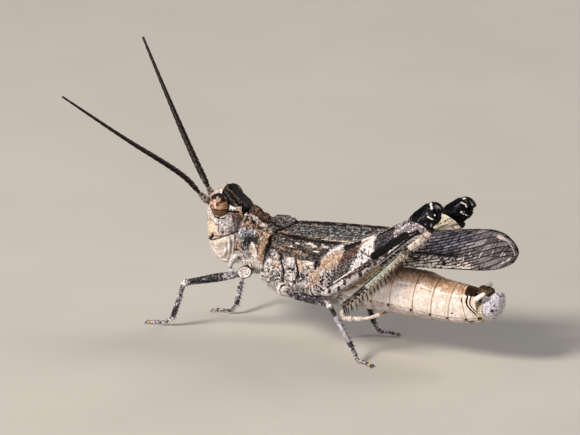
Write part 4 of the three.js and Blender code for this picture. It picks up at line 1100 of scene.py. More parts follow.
def belly_paint():
    paint = Paint("belly_shell", 0.34, Coat_Weight=0.2, Coat_Roughness=0.2)
    high = paint.field("high")
    middle = paint.noise(3.2, 4, 0.6, seed=5, warp=0.5)
    fine = paint.noise(14, 3, 0.65, seed=9)
    base = paint.tones("e2cfbd f0e3d6 fdf7f0", middle)
    base = paint.mix(base, "efeae3", paint.times(paint.field("shade"), 0.8))
    warm = paint.times(paint.step(paint.noise(2.2, 4, 0.65, seed=12), 0.48, 0.6), paint.step(high, 0.55, 0.78))
    base = paint.mix(base, "e6c3a0", paint.times(warm, 0.6))
    back = paint.mask(paint.add(high, -0.33), middle, 0.05, 0.9)
    # The brown band along the top: its tones ahead of x 2.2 to 2.8 are lighter than behind, painted light against the
    # shadow the fore wings cast on the front rings.
    base = paint.mix(
        base,
        paint.mix(
            paint.tones("b5835f dcae8a efcfb0 fbe9d6", paint.noise(5.5, 5, 0.75, seed=14)),
            paint.tones("9a7454 c6a283 e2c9b0", middle), paint.field("rear")),
        back,
    )
    rust = paint.times(
        paint.step(paint.noise(3.6, 4, 0.75, seed=24, warp=0.8), 0.52, 0.59), paint.step(high, 0.6, 0.82),
    )
    base = paint.mix(base, paint.tones("7c3f1d b06c3c", fine), paint.times(rust, 0.75))
    stretched = paint.stretched(0.8, 1.0, 2.2)
    worms = paint.math("PINGPONG", paint.times(paint.noise(3.4, 2, 0.5, at=stretched, seed=33), 5.0), 0.5)
    squiggles = paint.times(paint.step(worms, 0.1, 0.04), paint.step(paint.noise(8, 2, seed=35), 0.48, 0.54))
    base = paint.mix(base, paint.tones("8d4a22 c08255", fine), paint.times(squiggles, paint.field("marks")))
    dots = paint.times(paint.step(paint.cells(4.2), 0.16, 0.09), paint.step(paint.noise(1.4, 2, seed=52), 0.5, 0.56))
    base = paint.mix(base, "90501f", paint.times(dots, 0.9))
    base = paint.mix(base, paint.tones("a8978c c6b8b0 e0d6d0", middle), paint.field("sternite"))
    base = paint.mix(base, "b89571", paint.times(paint.field("edge"), 0.6))
    # Near white where the pale field passes a half: on the rings a painted highlight, on the cerci their own pale
    # colour.
    base = paint.mix(base, "fbf7f0", paint.mask("pale", fine, 0.1, 0.6))
    base = paint.mark(
        base, "0c0705 24150d 4a3020", paint.noise(9, 4, 0.75, seed=44), "dark", paint.noise(7, 4, 0.75, seed=47),
        0.08, 1.2,
    )
    return paint.finish(base, None, paint.add(fine, middle), 0.3, 0.015)


def make_abdomen():
    material = belly_paint()
    last = len(ABDOMEN_JOINTS) - 2
    for i, back in enumerate(ABDOMEN_JOINTS[1:]):
        shape = Shape()
        front = ABDOMEN_JOINTS[i]
        t, a = ring_grid(54, 200)
        x = lerp(front - 0.12, back, t)
        lean = ABDOMEN_LEAN * ease(t, 0.0, 0.6) if i == 0 else lerp(ABDOMEN_LEAN, -0.24, ease(x, 4.9, 5.72))
        grow = 0.972 + 0.028 * ease(t, 0.0, 0.4) + 0.008 * bell(t - 0.97, 0.04) - (0.05 * t if i == last else 0)
        P = trunk_points(x, a, 2 / 2.15, lean, grow)
        rise = (P[..., 2] - TRUNK_LOW(x)) / (TRUNK_TOP(x) - TRUNK_LOW(x))
        seam = rise - lerp(0.31, 0.2, ease(x, -0.5, 5.0))
        height = -0.05 * bell(seam, 0.014) + 0.02 * bell(seam + 0.05, 0.03) - 0.015 * bell(t - 0.86, 0.02)
        dimple = np.hypot((t - 0.4) * 2.0, (rise - 0.52) * 2.6)
        height -= (
            0.035 * bell(dimple, 0.1) - 0.008 * noise(P, 3, 30 + i, 3)
            - 0.02 * noise(P * [0.35, 1, 1], 2.2, 40, 2) * ease(seam, 0.05, -0.05)
        )
        # Dark marks and joints of the ring; the darkening along the very top, past rise 0.975, is painted shade under
        # the fore wings.
        dark = most(
            0.9 * spot(t, seam, (0.93, -0.01), (0.055, 0.045)), 0.62 * bell(seam, 0.008),
            0.6 * spot(t, rise, (0.4, 0.52), (0.03, 0.02)), ease(t, 0.955, 0.99) * 0.5 * ease(rise, 0.5, 0.9),
            ease(rise, 0.975, 0.995) * 0.4,
        )
        if i == last:
            arc = x - 0.1 * np.sin(9 * rise) - (5.98 + 0.42 * ease(rise, 0.75, 0.3))
            height += (
                ease(rise, 0.88, 0.78) * (
                    0.05 * bell(arc + 0.1, 0.06) - 0.08 * bell(arc, 0.035) + 0.05 * bell(arc - 0.14, 0.08))
            )
            dark = most(
                dark, 1.2 * bell(arc, 0.055) * band(rise, 0.25, 0.84, 0.05),
                1.1 * bell(arc - 0.2, 0.04) * ease(rise, 0.35, 0.45), 0.8 * spot(t, rise, (0.3, 0.12), (0.3, 0.05)),
                1.2 * ease(rise, 0.8, 0.87) * ease(x, 5.82, 5.96), 0.8 * ease(rise, 0.12, 0.05) * ease(t, 0.5, 0.2),
            )
        if i == last - 1:
            dark = most(marks(t, rise, (1.1, (0.34, 0.35), (0.07, 0.02)), (0.8, (0.97, 0.7), (0.1, 0.08))), dark)
        shape.tube(
            P, height, high=rise, edge=np.maximum(ease(t, 0.9, 1.0), 0.6 * bell(t - 0.84, 0.02)), dark=dark,
            sternite=ease(seam, 0.012, -0.012), shade=0.5 * ease(x, 2.4, 0.5), rear=ease(x, 2.2, 2.8),
            # The pale line at rise 0.8 along each ring is a painted highlight.
            pale=0.75 * spot(t, rise, (0.45, 0.8), (0.5, 0.03)),
            marks=band(t, 0.2, 0.75, 0.1) * band(rise, 0.3, 0.56, 0.05) * ease(x, -0.4, 0.4),
        )
        shape.piece(f"abdomen_ring_{i + 1}", material, "belly", f"abdomen_{i + 1}")
    make_tail(material)


TAIL_BOTTOM = through((0, 2.98), (0.35, 3.1), (0.7, 3.5), (1, 4.1))
TAIL_TOP = through((0, 3.95), (0.4, 4.5), (0.75, 4.88), (1, 4.7))
TAIL_REACH = through((0, 6.55), (0.5, 7.36), (0.85, 7.84), (1, 7.98))
TAIL_HALF = through((0, 0.82), (0.5, 0.7), (0.85, 0.5), (1, 0.28))


def tail_points(t, angle):
    """The outside of the last plate, and the way out from it: t is 0 at its front and 1 at its tip."""
    close = np.sqrt(np.clip(1 - ease(t, 0.84, 1.0) ** 2, 0.02, 1))
    c, s = power(np.cos(angle), 0.92), power(np.sin(angle), 0.92)
    low, high = TAIL_BOTTOM(t), TAIL_TOP(t)
    out = np.stack([0.25 + 0.8 * ease(t, 0.7, 1.0), c, s], axis=-1)
    P = np.stack(
        [
            TAIL_REACH(t) - 0.25 * (1 - t) * s, TAIL_HALF(t) * c * close,
            (low + high) / 2 + (high - low) / 2 * s * close],
        axis=-1,
    )
    return P, out


def make_tail(material):
    shape = Shape()
    t, a = ring_grid(120, 150)
    P, _ = tail_points(t, a)
    x, z = P[..., 0], P[..., 2]
    cup = np.hypot((x - 7.48) / 0.62, (z - 4.08) / 0.78)
    plate = np.maximum(ease(cup, 1.06, 0.98), ease(x, 7.35, 7.5) * ease(z, 3.9, 4.1))
    height = (
        0.02 * noise(P, 2.6, 3, 3) - 0.07 * bell(cup - 1.03, 0.045) + 0.045 * bell(cup - 1.14, 0.05) + 0.035 * plate
    )
    P = relief(P, height, wrap=True)
    shape.tube(
        P, plate=plate, tan=0.62 * ease(z, 3.7, 3.2) * (1 - plate), rim=0.9 * bell(cup - 1.13, 0.035),
        dark=most(
            marks(
                x, z, (1.6, (7.5, 3.88), (0.08, 0.08)), (1.4, (7.62, 4.2), (0.05, 0.05)),
                (1.4, (7.4, 4.3), (0.04, 0.04)), (1.4, (7.72, 3.9), (0.04, 0.04)), (0.8, (6.7, 3.3), (0.16, 0.16))),
            0.85 * bell(cup - 1.03, 0.025), 0.55 * ease(x, 7.9, 8.0)),
        dots=0.42 * plate * ease(noise(P, 1.6, 55, 1), -0.1, 0.1),
    )
    shell = mottle(
        "tail_shell", "8a7c63 b7aa8e d3c9b4",
        [
            ("tan", "7f6f4e a8986f cabd9c", 1.5), ("plate", "a19caa c0bcc8 dfdde5", 0.6),
            ("rim", "d9d3d0 f4f0ee", 0.6), ("dark", "0d0a09 2e2622 5a4f48", 1.2)],
        grain=1.4, dots="dots", gloss=0.42,
    )
    shape.piece("tail_plate", shell, "shell", "subgenital_plate")
    lid = Shape()
    path = [(6.3, 0, 4.82), (6.75, 0, 4.84), (7.12, 0, 4.78), (7.28, 0, 4.66)]
    P, s, a = limb(path, through((0, 0.6), (0.5, 0.5), (1, 0.26)), 0.25, sides=80, steps=80, round_a=0.2, round_b=0.2)
    height = (
        -0.05 * bell(P[..., 1], 0.07) * ease(np.sin(a), 0, 0.5) + 0.03 * bell(np.abs(P[..., 1]) - 0.16, 0.05)
        + 0.03 * noise(P, 5, 3, 3)
    )
    lid.tube(P, height, pale=0.45 * bell(np.abs(P[..., 1]) - 0.4, 0.05))
    lid.piece(
        "tail_lid",
        mottle("lid_shell", "070504 1f140d 4b3424 7c6450", [("pale", "6a5442 a08a76", 1.5)], grain=1.6, gloss=0.4),
        "dark_shell", "epiproct",
    )
    for side, path in (
        ("left", [(6.3, -0.72, 4.34), (6.72, -0.8, 4.7), (7.1, -0.8, 4.97)]),
        ("right", [(6.3, 0.66, 4.66), (6.6, 0.76, 4.9), (6.88, 0.8, 5.08)]),
    ):
        cercus = Shape()
        P, s, a = limb(path, through((0, 0.17), (0.4, 0.15), (0.8, 0.125), (1, 0.1)), sides=30, steps=40)
        cercus.tube(P, 0.012 * noise(P, 6, 3, 2), high=0.4, pale=0.48, edge=0.5 * ease(s, 0.2, 0.0))
        cercus.piece(f"tail_cercus_{side}", material, "belly", f"cercus_{side}")


# ---- Wings ----
WING_TOP = through((-7, 7.2), (-5.8, 7.37), (-3.7, 7.58), (-1.6, 7.74), (1, 7.92), (3, 8.18), (5, 8.52), (6.1, 8.7),
    (7.35, 8.83), (8.0, 8.74), (8.45, 8.46), (8.75, 8.15), (8.92, 7.88), (WING_TIP_X, 7.6))
WING_LOW = through((-7, 6.1), (-6, 5.72), (-4, 5.62), (-1, 5.82), (2, 6.02), (4.2, 6.16), (5.5, 6.24), (6.56, 6.29),
    (7.5, 6.44), (8.3, 6.73), (8.7, 7.02), (8.9, 7.26), (WING_TIP_X, 7.48))
WING_HALF = through(
    (-7, 1.36), (-5, 1.46), (-3, 1.44), (-1, 1.32), (2, 1.06), (4.5, 0.8), (7, 0.46), (8.6, 0.26), (WING_TIP_X, 0.16),
)
WING_POWER = through((-7, 5), (0, 4.2), (4, 3), (WING_TIP_X, 2.6))
WING_SLOPE = through((-7, 0.36), (-2, 0.34), (3, 0.2), (WING_TIP_X, 0))
VEIN_ROWS = 14
WING_OUTLINE = [
    (x, edge(x)) for edge, ends in ((WING_TOP, (6.5, WING_TIP_X)), (WING_LOW, (WING_TIP_X, 6.5)))
        for x in np.linspace(*ends, 12)
]
VEIN_DRIFT = through((-7, 0), (0.5, 0), (3, 0.1), (WING_TIP_X, 0.72))


def wing_points(x, s, sign):
    """The outside of a folded fore wing: s is 0 at the middle line and 1 at the lower edge."""
    bend = 2 / WING_POWER(x)
    angle = s * math.pi / 2
    outward = np.sin(angle) ** bend
    top, low = WING_TOP(x), WING_LOW(x)
    z = low + (top - low) * np.cos(angle) ** bend - WING_SLOPE(x) * outward * (1 - s)
    return np.stack([x, sign * (outward * WING_HALF(x) + 0.0225), z], axis=-1)


def even_across(x, columns):
    """Values of s that are evenly spaced by length along each section of the wing."""
    fine = np.linspace(0, 1, 400)
    xs, ss = np.meshgrid(x, fine, indexing="ij")
    gaps = np.linalg.norm(np.diff(wing_points(xs, ss, -1), axis=1), axis=-1)
    run = np.concatenate([np.zeros((len(x), 1)), np.cumsum(gaps, axis=1)], axis=1)
    return np.stack([np.interp(np.linspace(0, r[-1], columns), r, fine) for r in run])


def wing_pattern(x, share):
    """Distances in millimetres to the nearest lengthwise vein and the nearest cross vein, the row between veins and a
    value for each cell. share is the place across the wing by length. Towards the tip every other vein ends."""
    line = (share + VEIN_DRIFT(x) + 0.006 * np.sin(1.9 * x + 9 * share)) * VEIN_ROWS
    sparse = x + 0.8 * (1 - share) > 6.7
    line = np.where(sparse, line / 2, line)
    row = np.floor(line)
    width = (WING_TOP(x) - WING_LOW(x) + WING_HALF(x)) / VEIN_ROWS * np.where(sparse, 2, 1)
    along = np.minimum(line - row, row + 1 - line) * width
    length = 0.2 + 0.25 * ease(x, -1.5, 3.0) + 0.4 * ease(x, 5.6, 6.8)
    run = np.cumsum(np.diff(x[:, :1], axis=0, prepend=x[:1, :1] - 0.01) / length[:, :1], axis=0)
    level = row.astype(int) + 50 * sparse
    place = run + 0.37 * level + 0.3 * (line - row) + 0.25 * np.sin(level * 5.1 + run * 0.7)
    cell = np.floor(place).astype(int)
    inside = place - cell + 0.4 * (lattice(level, cell, 0 * level, 5) - 0.5)
    across = np.minimum(np.abs(inside), np.abs(1 - inside)) * length
    return along, across, row, lattice(level, cell, 0 * level, 9)


def wing_paint():
    paint = Paint("fore_wing", 0.42)
    tone, vein, far = paint.field("tone"), paint.field("vein"), paint.field("far")
    fine = paint.noise(15, 4, 0.72, seed=5)
    middle = paint.noise(4, 4, 0.65, seed=7)
    stretched = paint.stretched(0.45, 1.0, 1.0)
    flecks = paint.noise(13, 4, 0.75, at=stretched, seed=3)
    near_cell = paint.tones(
        "060504 241f1c 554c46 8d837b ddd6cf", paint.add(paint.times(tone, 0.12), paint.times(flecks, 0.92)), 0.4,
        0.68,
    )
    back_cell = paint.tones(
        "08090a 2e3133 5c5f62 8f9397 cfd2d4", paint.add(paint.times(tone, 0.12), paint.times(flecks, 0.94)), 0.41,
        0.66,
    )
    far_cell = paint.tones(
        "2a2628 565053 857e7f bab2b2",
        paint.add(paint.times(tone, 0.22), paint.times(paint.noise(9, 4, 0.75, seed=40), 0.8)), 0.3, 0.75,
    )
    base = paint.mix(near_cell, back_cell, paint.mask("upper", middle, 0.05, 0.3))
    base = paint.mix(base, far_cell, paint.step(far, 0.15, 0.75))
    base = paint.mix(
        base, paint.tones("5c5a66 878593 aba9b6 d0ced7", paint.add(paint.times(tone, 0.3), paint.times(fine, 0.7))),
        paint.times(paint.field("sheen"), 0.85),
    )
    base = paint.mix(
        base, paint.tones("8f8176 bfb0a3 efe6dd", paint.noise(7, 4, 0.7, seed=12), 0.4, 0.6),
        paint.mask("buff", middle, 0.1, 0.8),
    )
    pinkish = paint.times(paint.step(paint.noise(2.6, 3, seed=17), 0.5, 0.6), paint.step(far, 0.3, 0.0))
    lines = paint.mix("0f0c0c", "8f7d70", paint.times(pinkish, 0.7))
    base = paint.mix(base, lines, paint.times(paint.step(vein, 0.2, 0.5), 0.97))
    base = paint.mix(base, paint.tones("a3918c d8c9c7 efe6e6", fine), paint.times(paint.field("trim"), 0.85))
    base = paint.mark(base, "c9bdb2 f0ebe6", fine, "pale", paint.noise(8, 4, 0.75, seed=25), 0.06, 2.2)
    base = paint.mark(base, "8a6a50 b6957a", fine, "tan", middle, 0.12, 1.2)
    base = paint.mark(base, "060404 1b1513", fine, "dark", paint.noise(8, 4, 0.75, seed=31), 0.07, 1.8)
    rough = paint.spread(fine, 0.32, 0.55)
    return paint.finish(base, rough, paint.add(fine, paint.times(vein, 0.4)), 0.35, 0.012)


def make_tegmina():
    material = wing_paint()
    for side, sign in SIDES.items():
        rows, columns, turn = 560, 150, 45
        places = np.concatenate(
            [
                np.linspace(-6.98, 8.2, rows - turn),
                lerp(8.2, WING_TIP_X, 1 - (1 - np.linspace(0.03, 0.998, turn)) ** 2)]
        )
        x = np.repeat(places[:, None], columns, axis=1)
        share = np.repeat(np.linspace(0, 1, columns)[None], rows, axis=0)
        P = wing_points(x, even_across(places, columns), sign)
        along, across, row, tone = wing_pattern(x, share)
        soft = ease(WING_TIP_X - x, 0.0, 0.3)
        thick = lerp(0.026, 0.04, ease(x, 0, 4))
        vein = np.maximum(bell(along, thick), 0.92 * bell(across, 0.9 * thick))
        shoulder = (share - 0.5 - 0.012 * (x + 6)) * 3.0
        height = (
            lerp(0.03, 0.01, ease(x, 0, 3)) * vein + 0.05 * bell(along, 0.035) * (row % 3 == 1) * ease(x, 4.0, 1.0)
        )
        height += 0.06 * bell(shoulder + 0.06, 0.05) - 0.05 * bell(shoulder - 0.06, 0.06)
        height += 0.03 * ease(share, 0.982, 0.995) + 0.012 * noise(P, 2.2, 3, 3)
        edge = 2 - 2 * stroke(x, P[..., 2], WING_OUTLINE, 1)
        P = relief(P, height * soft, sign=-sign)
        costal = share - lerp(0.74, 0.8, ease(x, 2, 6))
        broken = noise(P * [1, 1, 2.2], 2.0, 31, 2)
        P[..., 0] -= 0.16 * ease(x, 4, 9) * (sign > 0)
        shape = Shape()
        shape.plate(
            P, 0.09 * ease(WING_TIP_X - x, -0.1, 0.3) + 0.004, flip=(sign > 0), tone=tone, vein=vein * soft,
            far=ease(x, -0.5, 4.0), upper=ease(share, 0.49, 0.45),
            buff=0.8 * ease(costal, -0.03, 0.03) * ease(x, 6.8, 5.6) * ease(x, -1.0, 1.5),
            sheen=ease(spot(x, share, (4.3, 0.3), (1.7, 0.22)), 0.2, 0.7) * (1 - vein),
            trim=most(
                0.8 * bell(edge - 0.2, 0.035) * ease(x, 7.9, 8.3) * ease(P[..., 2], 7.2, 7.6),
                0.9 * ease(spot(x, P[..., 2], (7.85, 8.52), (0.24, 0.1), -0.15), 0.3, 0.6)),
            pale=most(
                marks(x, share, (0.6, [(2.3, 0.93), (6.0, 0.95)], 0.03), (0.62, [(-3.6, 0.5), (-1.5, 0.515)], 0.02)),
                *[
                    1.2 * spot(x, share, place, (size, 0.02)) for *place, size in (
                        (-5.2, 0.66, 0.14), (-4.35, 0.63, 0.22), (-4.05, 0.67, 0.16), (-3.3, 0.66, 0.2),
                        (-2.9, 0.71, 0.12), (-2.5, 0.66, 0.2), (-5.6, 0.75, 0.1), (-3.9, 0.78, 0.16),
                        (-2.2, 0.76, 0.14), (-1.6, 0.7, 0.16))],
                0.7 * bell(edge - 0.3, 0.06) * ease(x, 7.6, 8.0) * ease(P[..., 2], 7.5, 7.2),
                0.95 * ease(0.06 - across, 0, 0.04) * ease(spot(x, share, (6.9, 0.66), (1.2, 0.13)), 0.2, 0.5)
                    * (along > 0.04),
                0.62 * stroke(x, share, [(2.4, 0.72), (5.6, 0.75)], 0.04) * ease(across, 0.03, 0.1)),
            tan=marks(
                x, share, (0.9, (-6.25, 0.455), (0.4, 0.03)), (0.52, [(-6.4, 0.46), (-4, 0.47), (-1.5, 0.49)], 0.02),
                (0.6, [(-6.5, 0.86), (-4.5, 0.88)], 0.05)),
            dark=most(
                marks(
                    x, share, (1.7, [(-6.5, 0.5), (-5.5, 0.53), (-3.5, 0.56), (-1.8, 0.575), (-1, 0.56)], 0.017),
                    (0.72, [(2.2, 0.62), (3.8, 0.65), (5.2, 0.69)], 0.05), (0.62, (-6.3, 0.2), (0.3, 0.1))),
                0.62 * ease(edge, 0.06, 0.03) * ease(x, 6.5, 7), 0.75 * ease(share, 0.97, 0.985) * ease(x, 3, 5),
                0.6 * bell(share, 0.012),
                0.95 * ease(costal, -0.02, 0.02) * ease(broken, 0.16, 0.32) * ease(x, 6.8, 6.0) * ease(x, 1.0, 2.0)),
        )
        shape.piece(f"fore_wing_{side}", material, "fore_wing", f"tegmen_{side}")


def make_hindwings():
    paint = Paint("hind_wing", 0.3)
    fine = paint.noise(9, 4, 0.65, seed=5)
    base = paint.ramp(fine, (0.3, "c9bd6d"), (0.7, "e3dba0"))
    base = paint.mix(base, "2b211d", paint.mask("band", paint.noise(3, 3, seed=8), 0.12, 0.8))
    base = paint.mix(base, "4a3a2c", paint.times(paint.step(paint.field("fold"), 0.75, 0.95), 0.7))
    material = paint.finish(base, None, paint.add(fine, paint.field("fold")), 0.3, 0.01)
    fold = through((0, 0.55), (0.125, 0.9), (0.25, 1), (0.5, 1), (0.625, 0.95), (0.75, 0.85), (0.875, 0.7), (1, 0.45))
    for side, sign in SIDES.items():
        t, a = ring_grid(90, 132)
        x = lerp(-4.85, 5.75, t)
        ceiling = WING_TOP(x) - 0.62
        half = np.maximum(0.24, fold(t) * ((WING_HALF(x) - 0.6) / 2))
        floor = ceiling - np.maximum(0.48, fold(t) * np.minimum(1, ceiling - WING_LOW(x) - 0.3))
        close = np.sqrt(np.clip(1 - ease(np.abs(2 * t - 1), 0.95, 1.0) ** 2, 0.03, 1))
        pleat = np.cos(a * 22)
        swell = (0.93 + 0.05 * pleat) * close
        P = np.stack([
            x, sign * (half + 0.05) + half * power(np.cos(a), 0.77) * swell,
            (ceiling + floor) / 2 + (ceiling - floor) / 2 * power(np.sin(a), 0.77) * swell,
        ], axis=-1)
        shape = Shape()
        shape.tube(P, fold=ease(pleat, -1, 1), band=band(x, 1.5, 3.8, 0.5))
        shape.piece(f"hind_wing_{side}", material, "hind_wing", f"hindwing_{side}")


SHELL = mottle(
    "plain_shell", "4b4340 948a86 c3b9b3 e0d8d1",
    [("tan", "9a7350 cba380", 1.4), ("pale", "cbbfb5 f2ece6", 1.4), ("dark", "0a0807 2c2623", 1.6)], grain=1.2,
)


# ---- Walking legs ----
# Each leg is a chain of places: hip, end of the coxa, knee, ankle, sole and toe.
WALKING_LEGS = {
    "fore_left": [
        (-8.5, -0.95, 4.25), (-9.25, -1.18, 3.92), (-12.77, -1.72, 3.0), (-13.58, -1.66, 0.62), (-14.05, -1.68, 0.2),
        (-15.05, -1.78, 0.18)],
    "fore_right": [
        (-8.5, 0.95, 4.25), (-9.2, 1.22, 3.9), (-11.05, 3.3, 2.62), (-10.98, 2.02, 0.62), (-11.32, 1.95, 0.2),
        (-12.3, 1.9, 0.18)],
    "mid_left": [
        (-6.05, -1.05, 3.45), (-5.75, -1.75, 3.42), (-2.65, -2.28, 3.25), (-0.86, -2.84, 0.92), (-0.42, -2.98, 0.24),
        (0.42, -3.2, 0.18)],
    "mid_right": [
        (-6.05, 1.05, 3.45), (-5.75, 1.75, 3.42), (-2.62, 2.32, 3.2), (-1.72, 2.32, 0.66), (-1.35, 2.36, 0.22),
        (-0.4, 2.5, 0.18)],
}
# How dark each femur and tibia is from its top end to its bottom end.
LEG_TONES = {
    "fore_left": (through((0, 0.3), (0.2, 0.42), (0.34, 0.72), (0.8, 0.76), (0.9, 0.6), (0.95, 0.1), (1, 0.1)),
        through((0, 0.15), (0.1, 0.5), (0.5, 0.5), (0.66, 0.62), (0.8, 0.95), (1, 0.9))),
    "fore_right": (through((0, 0.35), (0.5, 0.45), (1, 0.3)), through((0, 0.2), (0.4, 0.4), (0.8, 0.45), (1, 0.8))),
    "mid_left": (through((0, 0.62), (0.5, 0.66), (0.9, 0.54), (1, 0.25)),
        through((0, 0.1), (0.1, 0.3), (0.17, 0.9), (0.25, 0.85), (0.33, 0.25), (0.85, 0.35), (0.93, 0.8), (1, 0.9))),
    "mid_right": (through((0, 0.5), (0.5, 0.6), (1, 0.5)), through((0, 0.5), (0.3, 0.85), (1, 0.95))),
}

COXA_WIDE = {
    True: through((0, 0.38), (0.5, 0.4), (1, 0.27)), False: through((0, 0.56), (0.35, 0.54), (0.7, 0.36), (1, 0.17))
}
LILAC_SHINS = ("mid_left", "fore_right")
SHIN_SPINES = 7


def make_foot(shape, path, radii, dark, sole_up):
    """Three foot segments with pads beneath, a pair of claws and the soft lobe between them."""
    line, _ = spline(path, 200)
    ends = [(0.0, 0.36), (0.35, 0.56), (0.55, 0.97)]
    down = -np.array(sole_up, float)
    for (start, end), radius in zip(ends, radii):
        picks = line[np.linspace(int(start * 199), int(end * 199), 5).astype(int)]
        P, s, a = limb(
            picks, lambda t, r=radius: r * (0.86 + 0.2 * ease(t, 0.5, 0.95)), up=sole_up, sides=24, steps=26,
            round_a=0.6 * radius, round_b=0.5 * radius,
        )
        under = ease(-np.sin(a), 0.1, 0.7)
        lump = under * (0.5 - 0.5 * np.cos(TURN * (3 if start == 0 else 1) * s)) if start < 0.5 else 0
        shape.tube(P, 0.03 * lump + 0.006 * noise(P, 9, 4, 2), dark=dark, pale=0.62 * under, tan=0.2)
    toe, before = line[-1], line[-20]
    ahead = unit(toe - before)
    side = unit(np.cross(down, ahead))
    for way in (-1, 1):
        claw = [
            toe + ahead * forward + side * way * sideways * radii[-1] + down * lower
                for forward, sideways, lower in (
                    (-0.05, 0.5, 0.0), (0.13, 0.9, -0.03), (0.27, 1.25, 0.02), (0.33, 1.25, 0.12))
        ]
        P, s, a = limb(
            claw, through((0, 0.055), (0.6, 0.04), (1, 0.008)), up=sole_up, sides=12, steps=24, round_a=0.02,
            round_b=0.005,
        )
        shape.tube(P, dark=0.9 * ease(s, 0.3, 0.6), tan=0.7)
    lobe = [toe - ahead * 0.05, toe + ahead * 0.1 + down * 0.01, toe + ahead * 0.2 + down * 0.04]
    P, s, a = limb(lobe, 0.07, 0.045, up=sole_up, sides=16, steps=12)
    shape.tube(P, dark=0.45)


def floor_clear(P):
    """Presses points that would fall below the floor up onto it."""
    P = P.copy()
    P[:, 2] = np.where(P[:, 2] < 0, 0.02 * P[:, 2], P[:, 2])
    return P


def make_walking_legs():
    paint = mottle(
        "leg_shell", "453f44 827b82 b1abb3 ddd8da",
        [
            ("tan", "8a6a50 bd9877 dec2a6", 1.5), ("lilac", "7d7883 a29da8 c8c4cd", 0.8),
            ("dark", "010101 0e0c0f 45424b", 2.3), ("pale", "c9c0ba efe9e4 faf8f6", 1.2)],
        grain=1.0, lines=0.35, gloss=0.4, bump=0.6,
    )
    for name, places in WALKING_LEGS.items():
        hip, socket, knee, ankle, sole, toe = (np.array(p, float) for p in places)
        front = name.startswith("fore")
        far = name.endswith("right")
        thigh_dark, shin_dark = LEG_TONES[name]
        coxa = Shape()
        root = hip if front else hip + [-0.3, 0, 0.12]
        P, s, a = limb(
            [root, lerp(root, socket, 0.55), lerp(root, socket, 1.06)], COXA_WIDE[front], sides=60, steps=60,
        )
        joint, seam = bell(s - 0.8 - 0.03 * np.sin(a), 0.03), np.sin(a / 2 - 0.4)
        height = 0.02 * noise(P, 3, 4, 3) - 0.04 * joint + 0.025 * bell(s - 0.73, 0.04) - 0.03 * bell(seam, 0.08)
        shell_dark = np.maximum(0.75 * front * joint, 0.62 * bell(seam, 0.1))
        rings = np.cos((s + 0.08 * noise(P, 2.0, 8, 2)) * TURN / 0.26) * band(s, 0.1, 0.85, 0.05) * (not front)
        coxa.tube(
            P, height + 0.02 * rings, dark=np.maximum(shell_dark, 0.58 * ease(-rings, 0.1, 0.7)),
            pale=np.maximum(0.55 * bell(s - 0.45, 0.25), 0.62 * ease(rings, 0.1, 0.7)),
        )
        if front:
            t, a = ring_grid(50, 70, 0.02, math.pi - 0.02)
            edge = np.sin(t)
            u, v = 0.52 * edge * np.cos(a), 0.37 * edge * np.sin(a)
            bulge = 0.26 + 0.08 * power(np.cos(t), 0.6) + 0.05 * bell(edge - 0.86, 0.07)
            away = (1 if far else -1) * (1.12 + bulge)
            P = np.stack([-8.78 + 0.93 * u - 0.36 * v, away, 4.2 + 0.36 * u + 0.93 * v], axis=-1)
            coxa.grid(
                P, wrap=True, caps=True, flip=far, pale=0.42 + 0.5 * bell(edge - 0.8, 0.07),
                dark=1.3 * ease(edge, 0.88, 0.93),
            )
        coxa.piece(f"leg_coxa_{name}", SHELL, "shell", f"coxa_{name}")

        femur = Shape()
        P, s, a = limb([lerp(socket, knee, -0.02), lerp(socket, knee, 0.075)], 0.2, sides=40, steps=16)
        femur.tube(P, dark=0.5, tan=0.2)
        wide = through((0, 0.13), (0.1, 0.18), (0.4, 0.215), (0.8, 0.18), (0.9, 0.175), (0.96, 0.2), (1, 0.18))
        deep = through((0, 0.16), (0.1, 0.21), (0.35, 0.25), (0.8, 0.2), (0.9, 0.19), (0.96, 0.22), (1, 0.2))
        thick = 1.14 if front else 1.28
        P, s, a = limb(
            [lerp(socket, knee, t) for t in (0.05, 0.5, 1.01)], wide, lambda t: deep(t) * lerp(thick, 1.0, t),
            sides=52, steps=140,
        )
        edges = bell(np.sin(a - 0.9), 0.12) + bell(np.sin(a + 0.9), 0.12)
        height = (
            0.018 * edges * band(s, 0.1, 0.92, 0.05) + 0.01 * noise(P, 4, 3, 3) - 0.035 * bell(s - 0.925, 0.01)
            + 0.02 * bell(s - 0.965, 0.02)
        )
        end = ease(s, 0.93, 0.97)
        femur.tube(P, height, dark=thigh_dark(s) + 0.06 * noise(P, 3, 9, 2), tan=0.3 + 0.3 * end,
            pale=np.maximum(0.8 * end * (not far), 0.3 * edges))
        femur.piece(f"leg_femur_{name}", paint, "leg", f"femur_{name}")

        tibia = Shape()
        line = [lerp(knee, ankle, t) for t in (-0.02, 0.08, 0.5, 0.99)]
        back = np.array([1.0, 0, 0.2])
        P, s, a = limb(
            line, through((0, 0.15), (0.06, 0.165), (0.14, 0.14), (0.5, 0.15), (0.92, 0.155), (1, 0.17)), up=back,
            sides=36, steps=120,
        )
        height = 0.014 * bell(np.sin(a - 0.8), 0.15) + 0.014 * bell(np.sin(a + 0.8), 0.15) + 0.008 * noise(P, 5, 3, 3)
        tibia.tube(P, height, dark=shin_dark(s) + 0.06 * noise(P, 3, 9, 2), pale=0.7 * ease(s, 0.1, 0.03),
            tan=0.35 * ease(s, 0.1, 0.0), lilac=0.9 * band(s, 0.3, 0.9, 0.08) * (name in LILAC_SHINS))
        along = unit(ankle - knee)
        rear = unit(back - along * np.dot(back, along))
        side = np.cross(along, rear)
        for way in (-1, 1):
            t = np.linspace(0.38, 0.97, SHIN_SPINES)[:, None]
            roots = lerp(knee, ankle, t) + side * way * 0.08 + rear * 0.1
            tips = roots + along * 0.14 + rear * 0.16 + side * way * 0.07
            tibia.spikes(roots, tips, 0.032, sides=7, rings=5, dark=0.75, tan=0.5)
        tibia.piece(f"leg_tibia_{name}", paint, "leg", f"tibia_{name}")

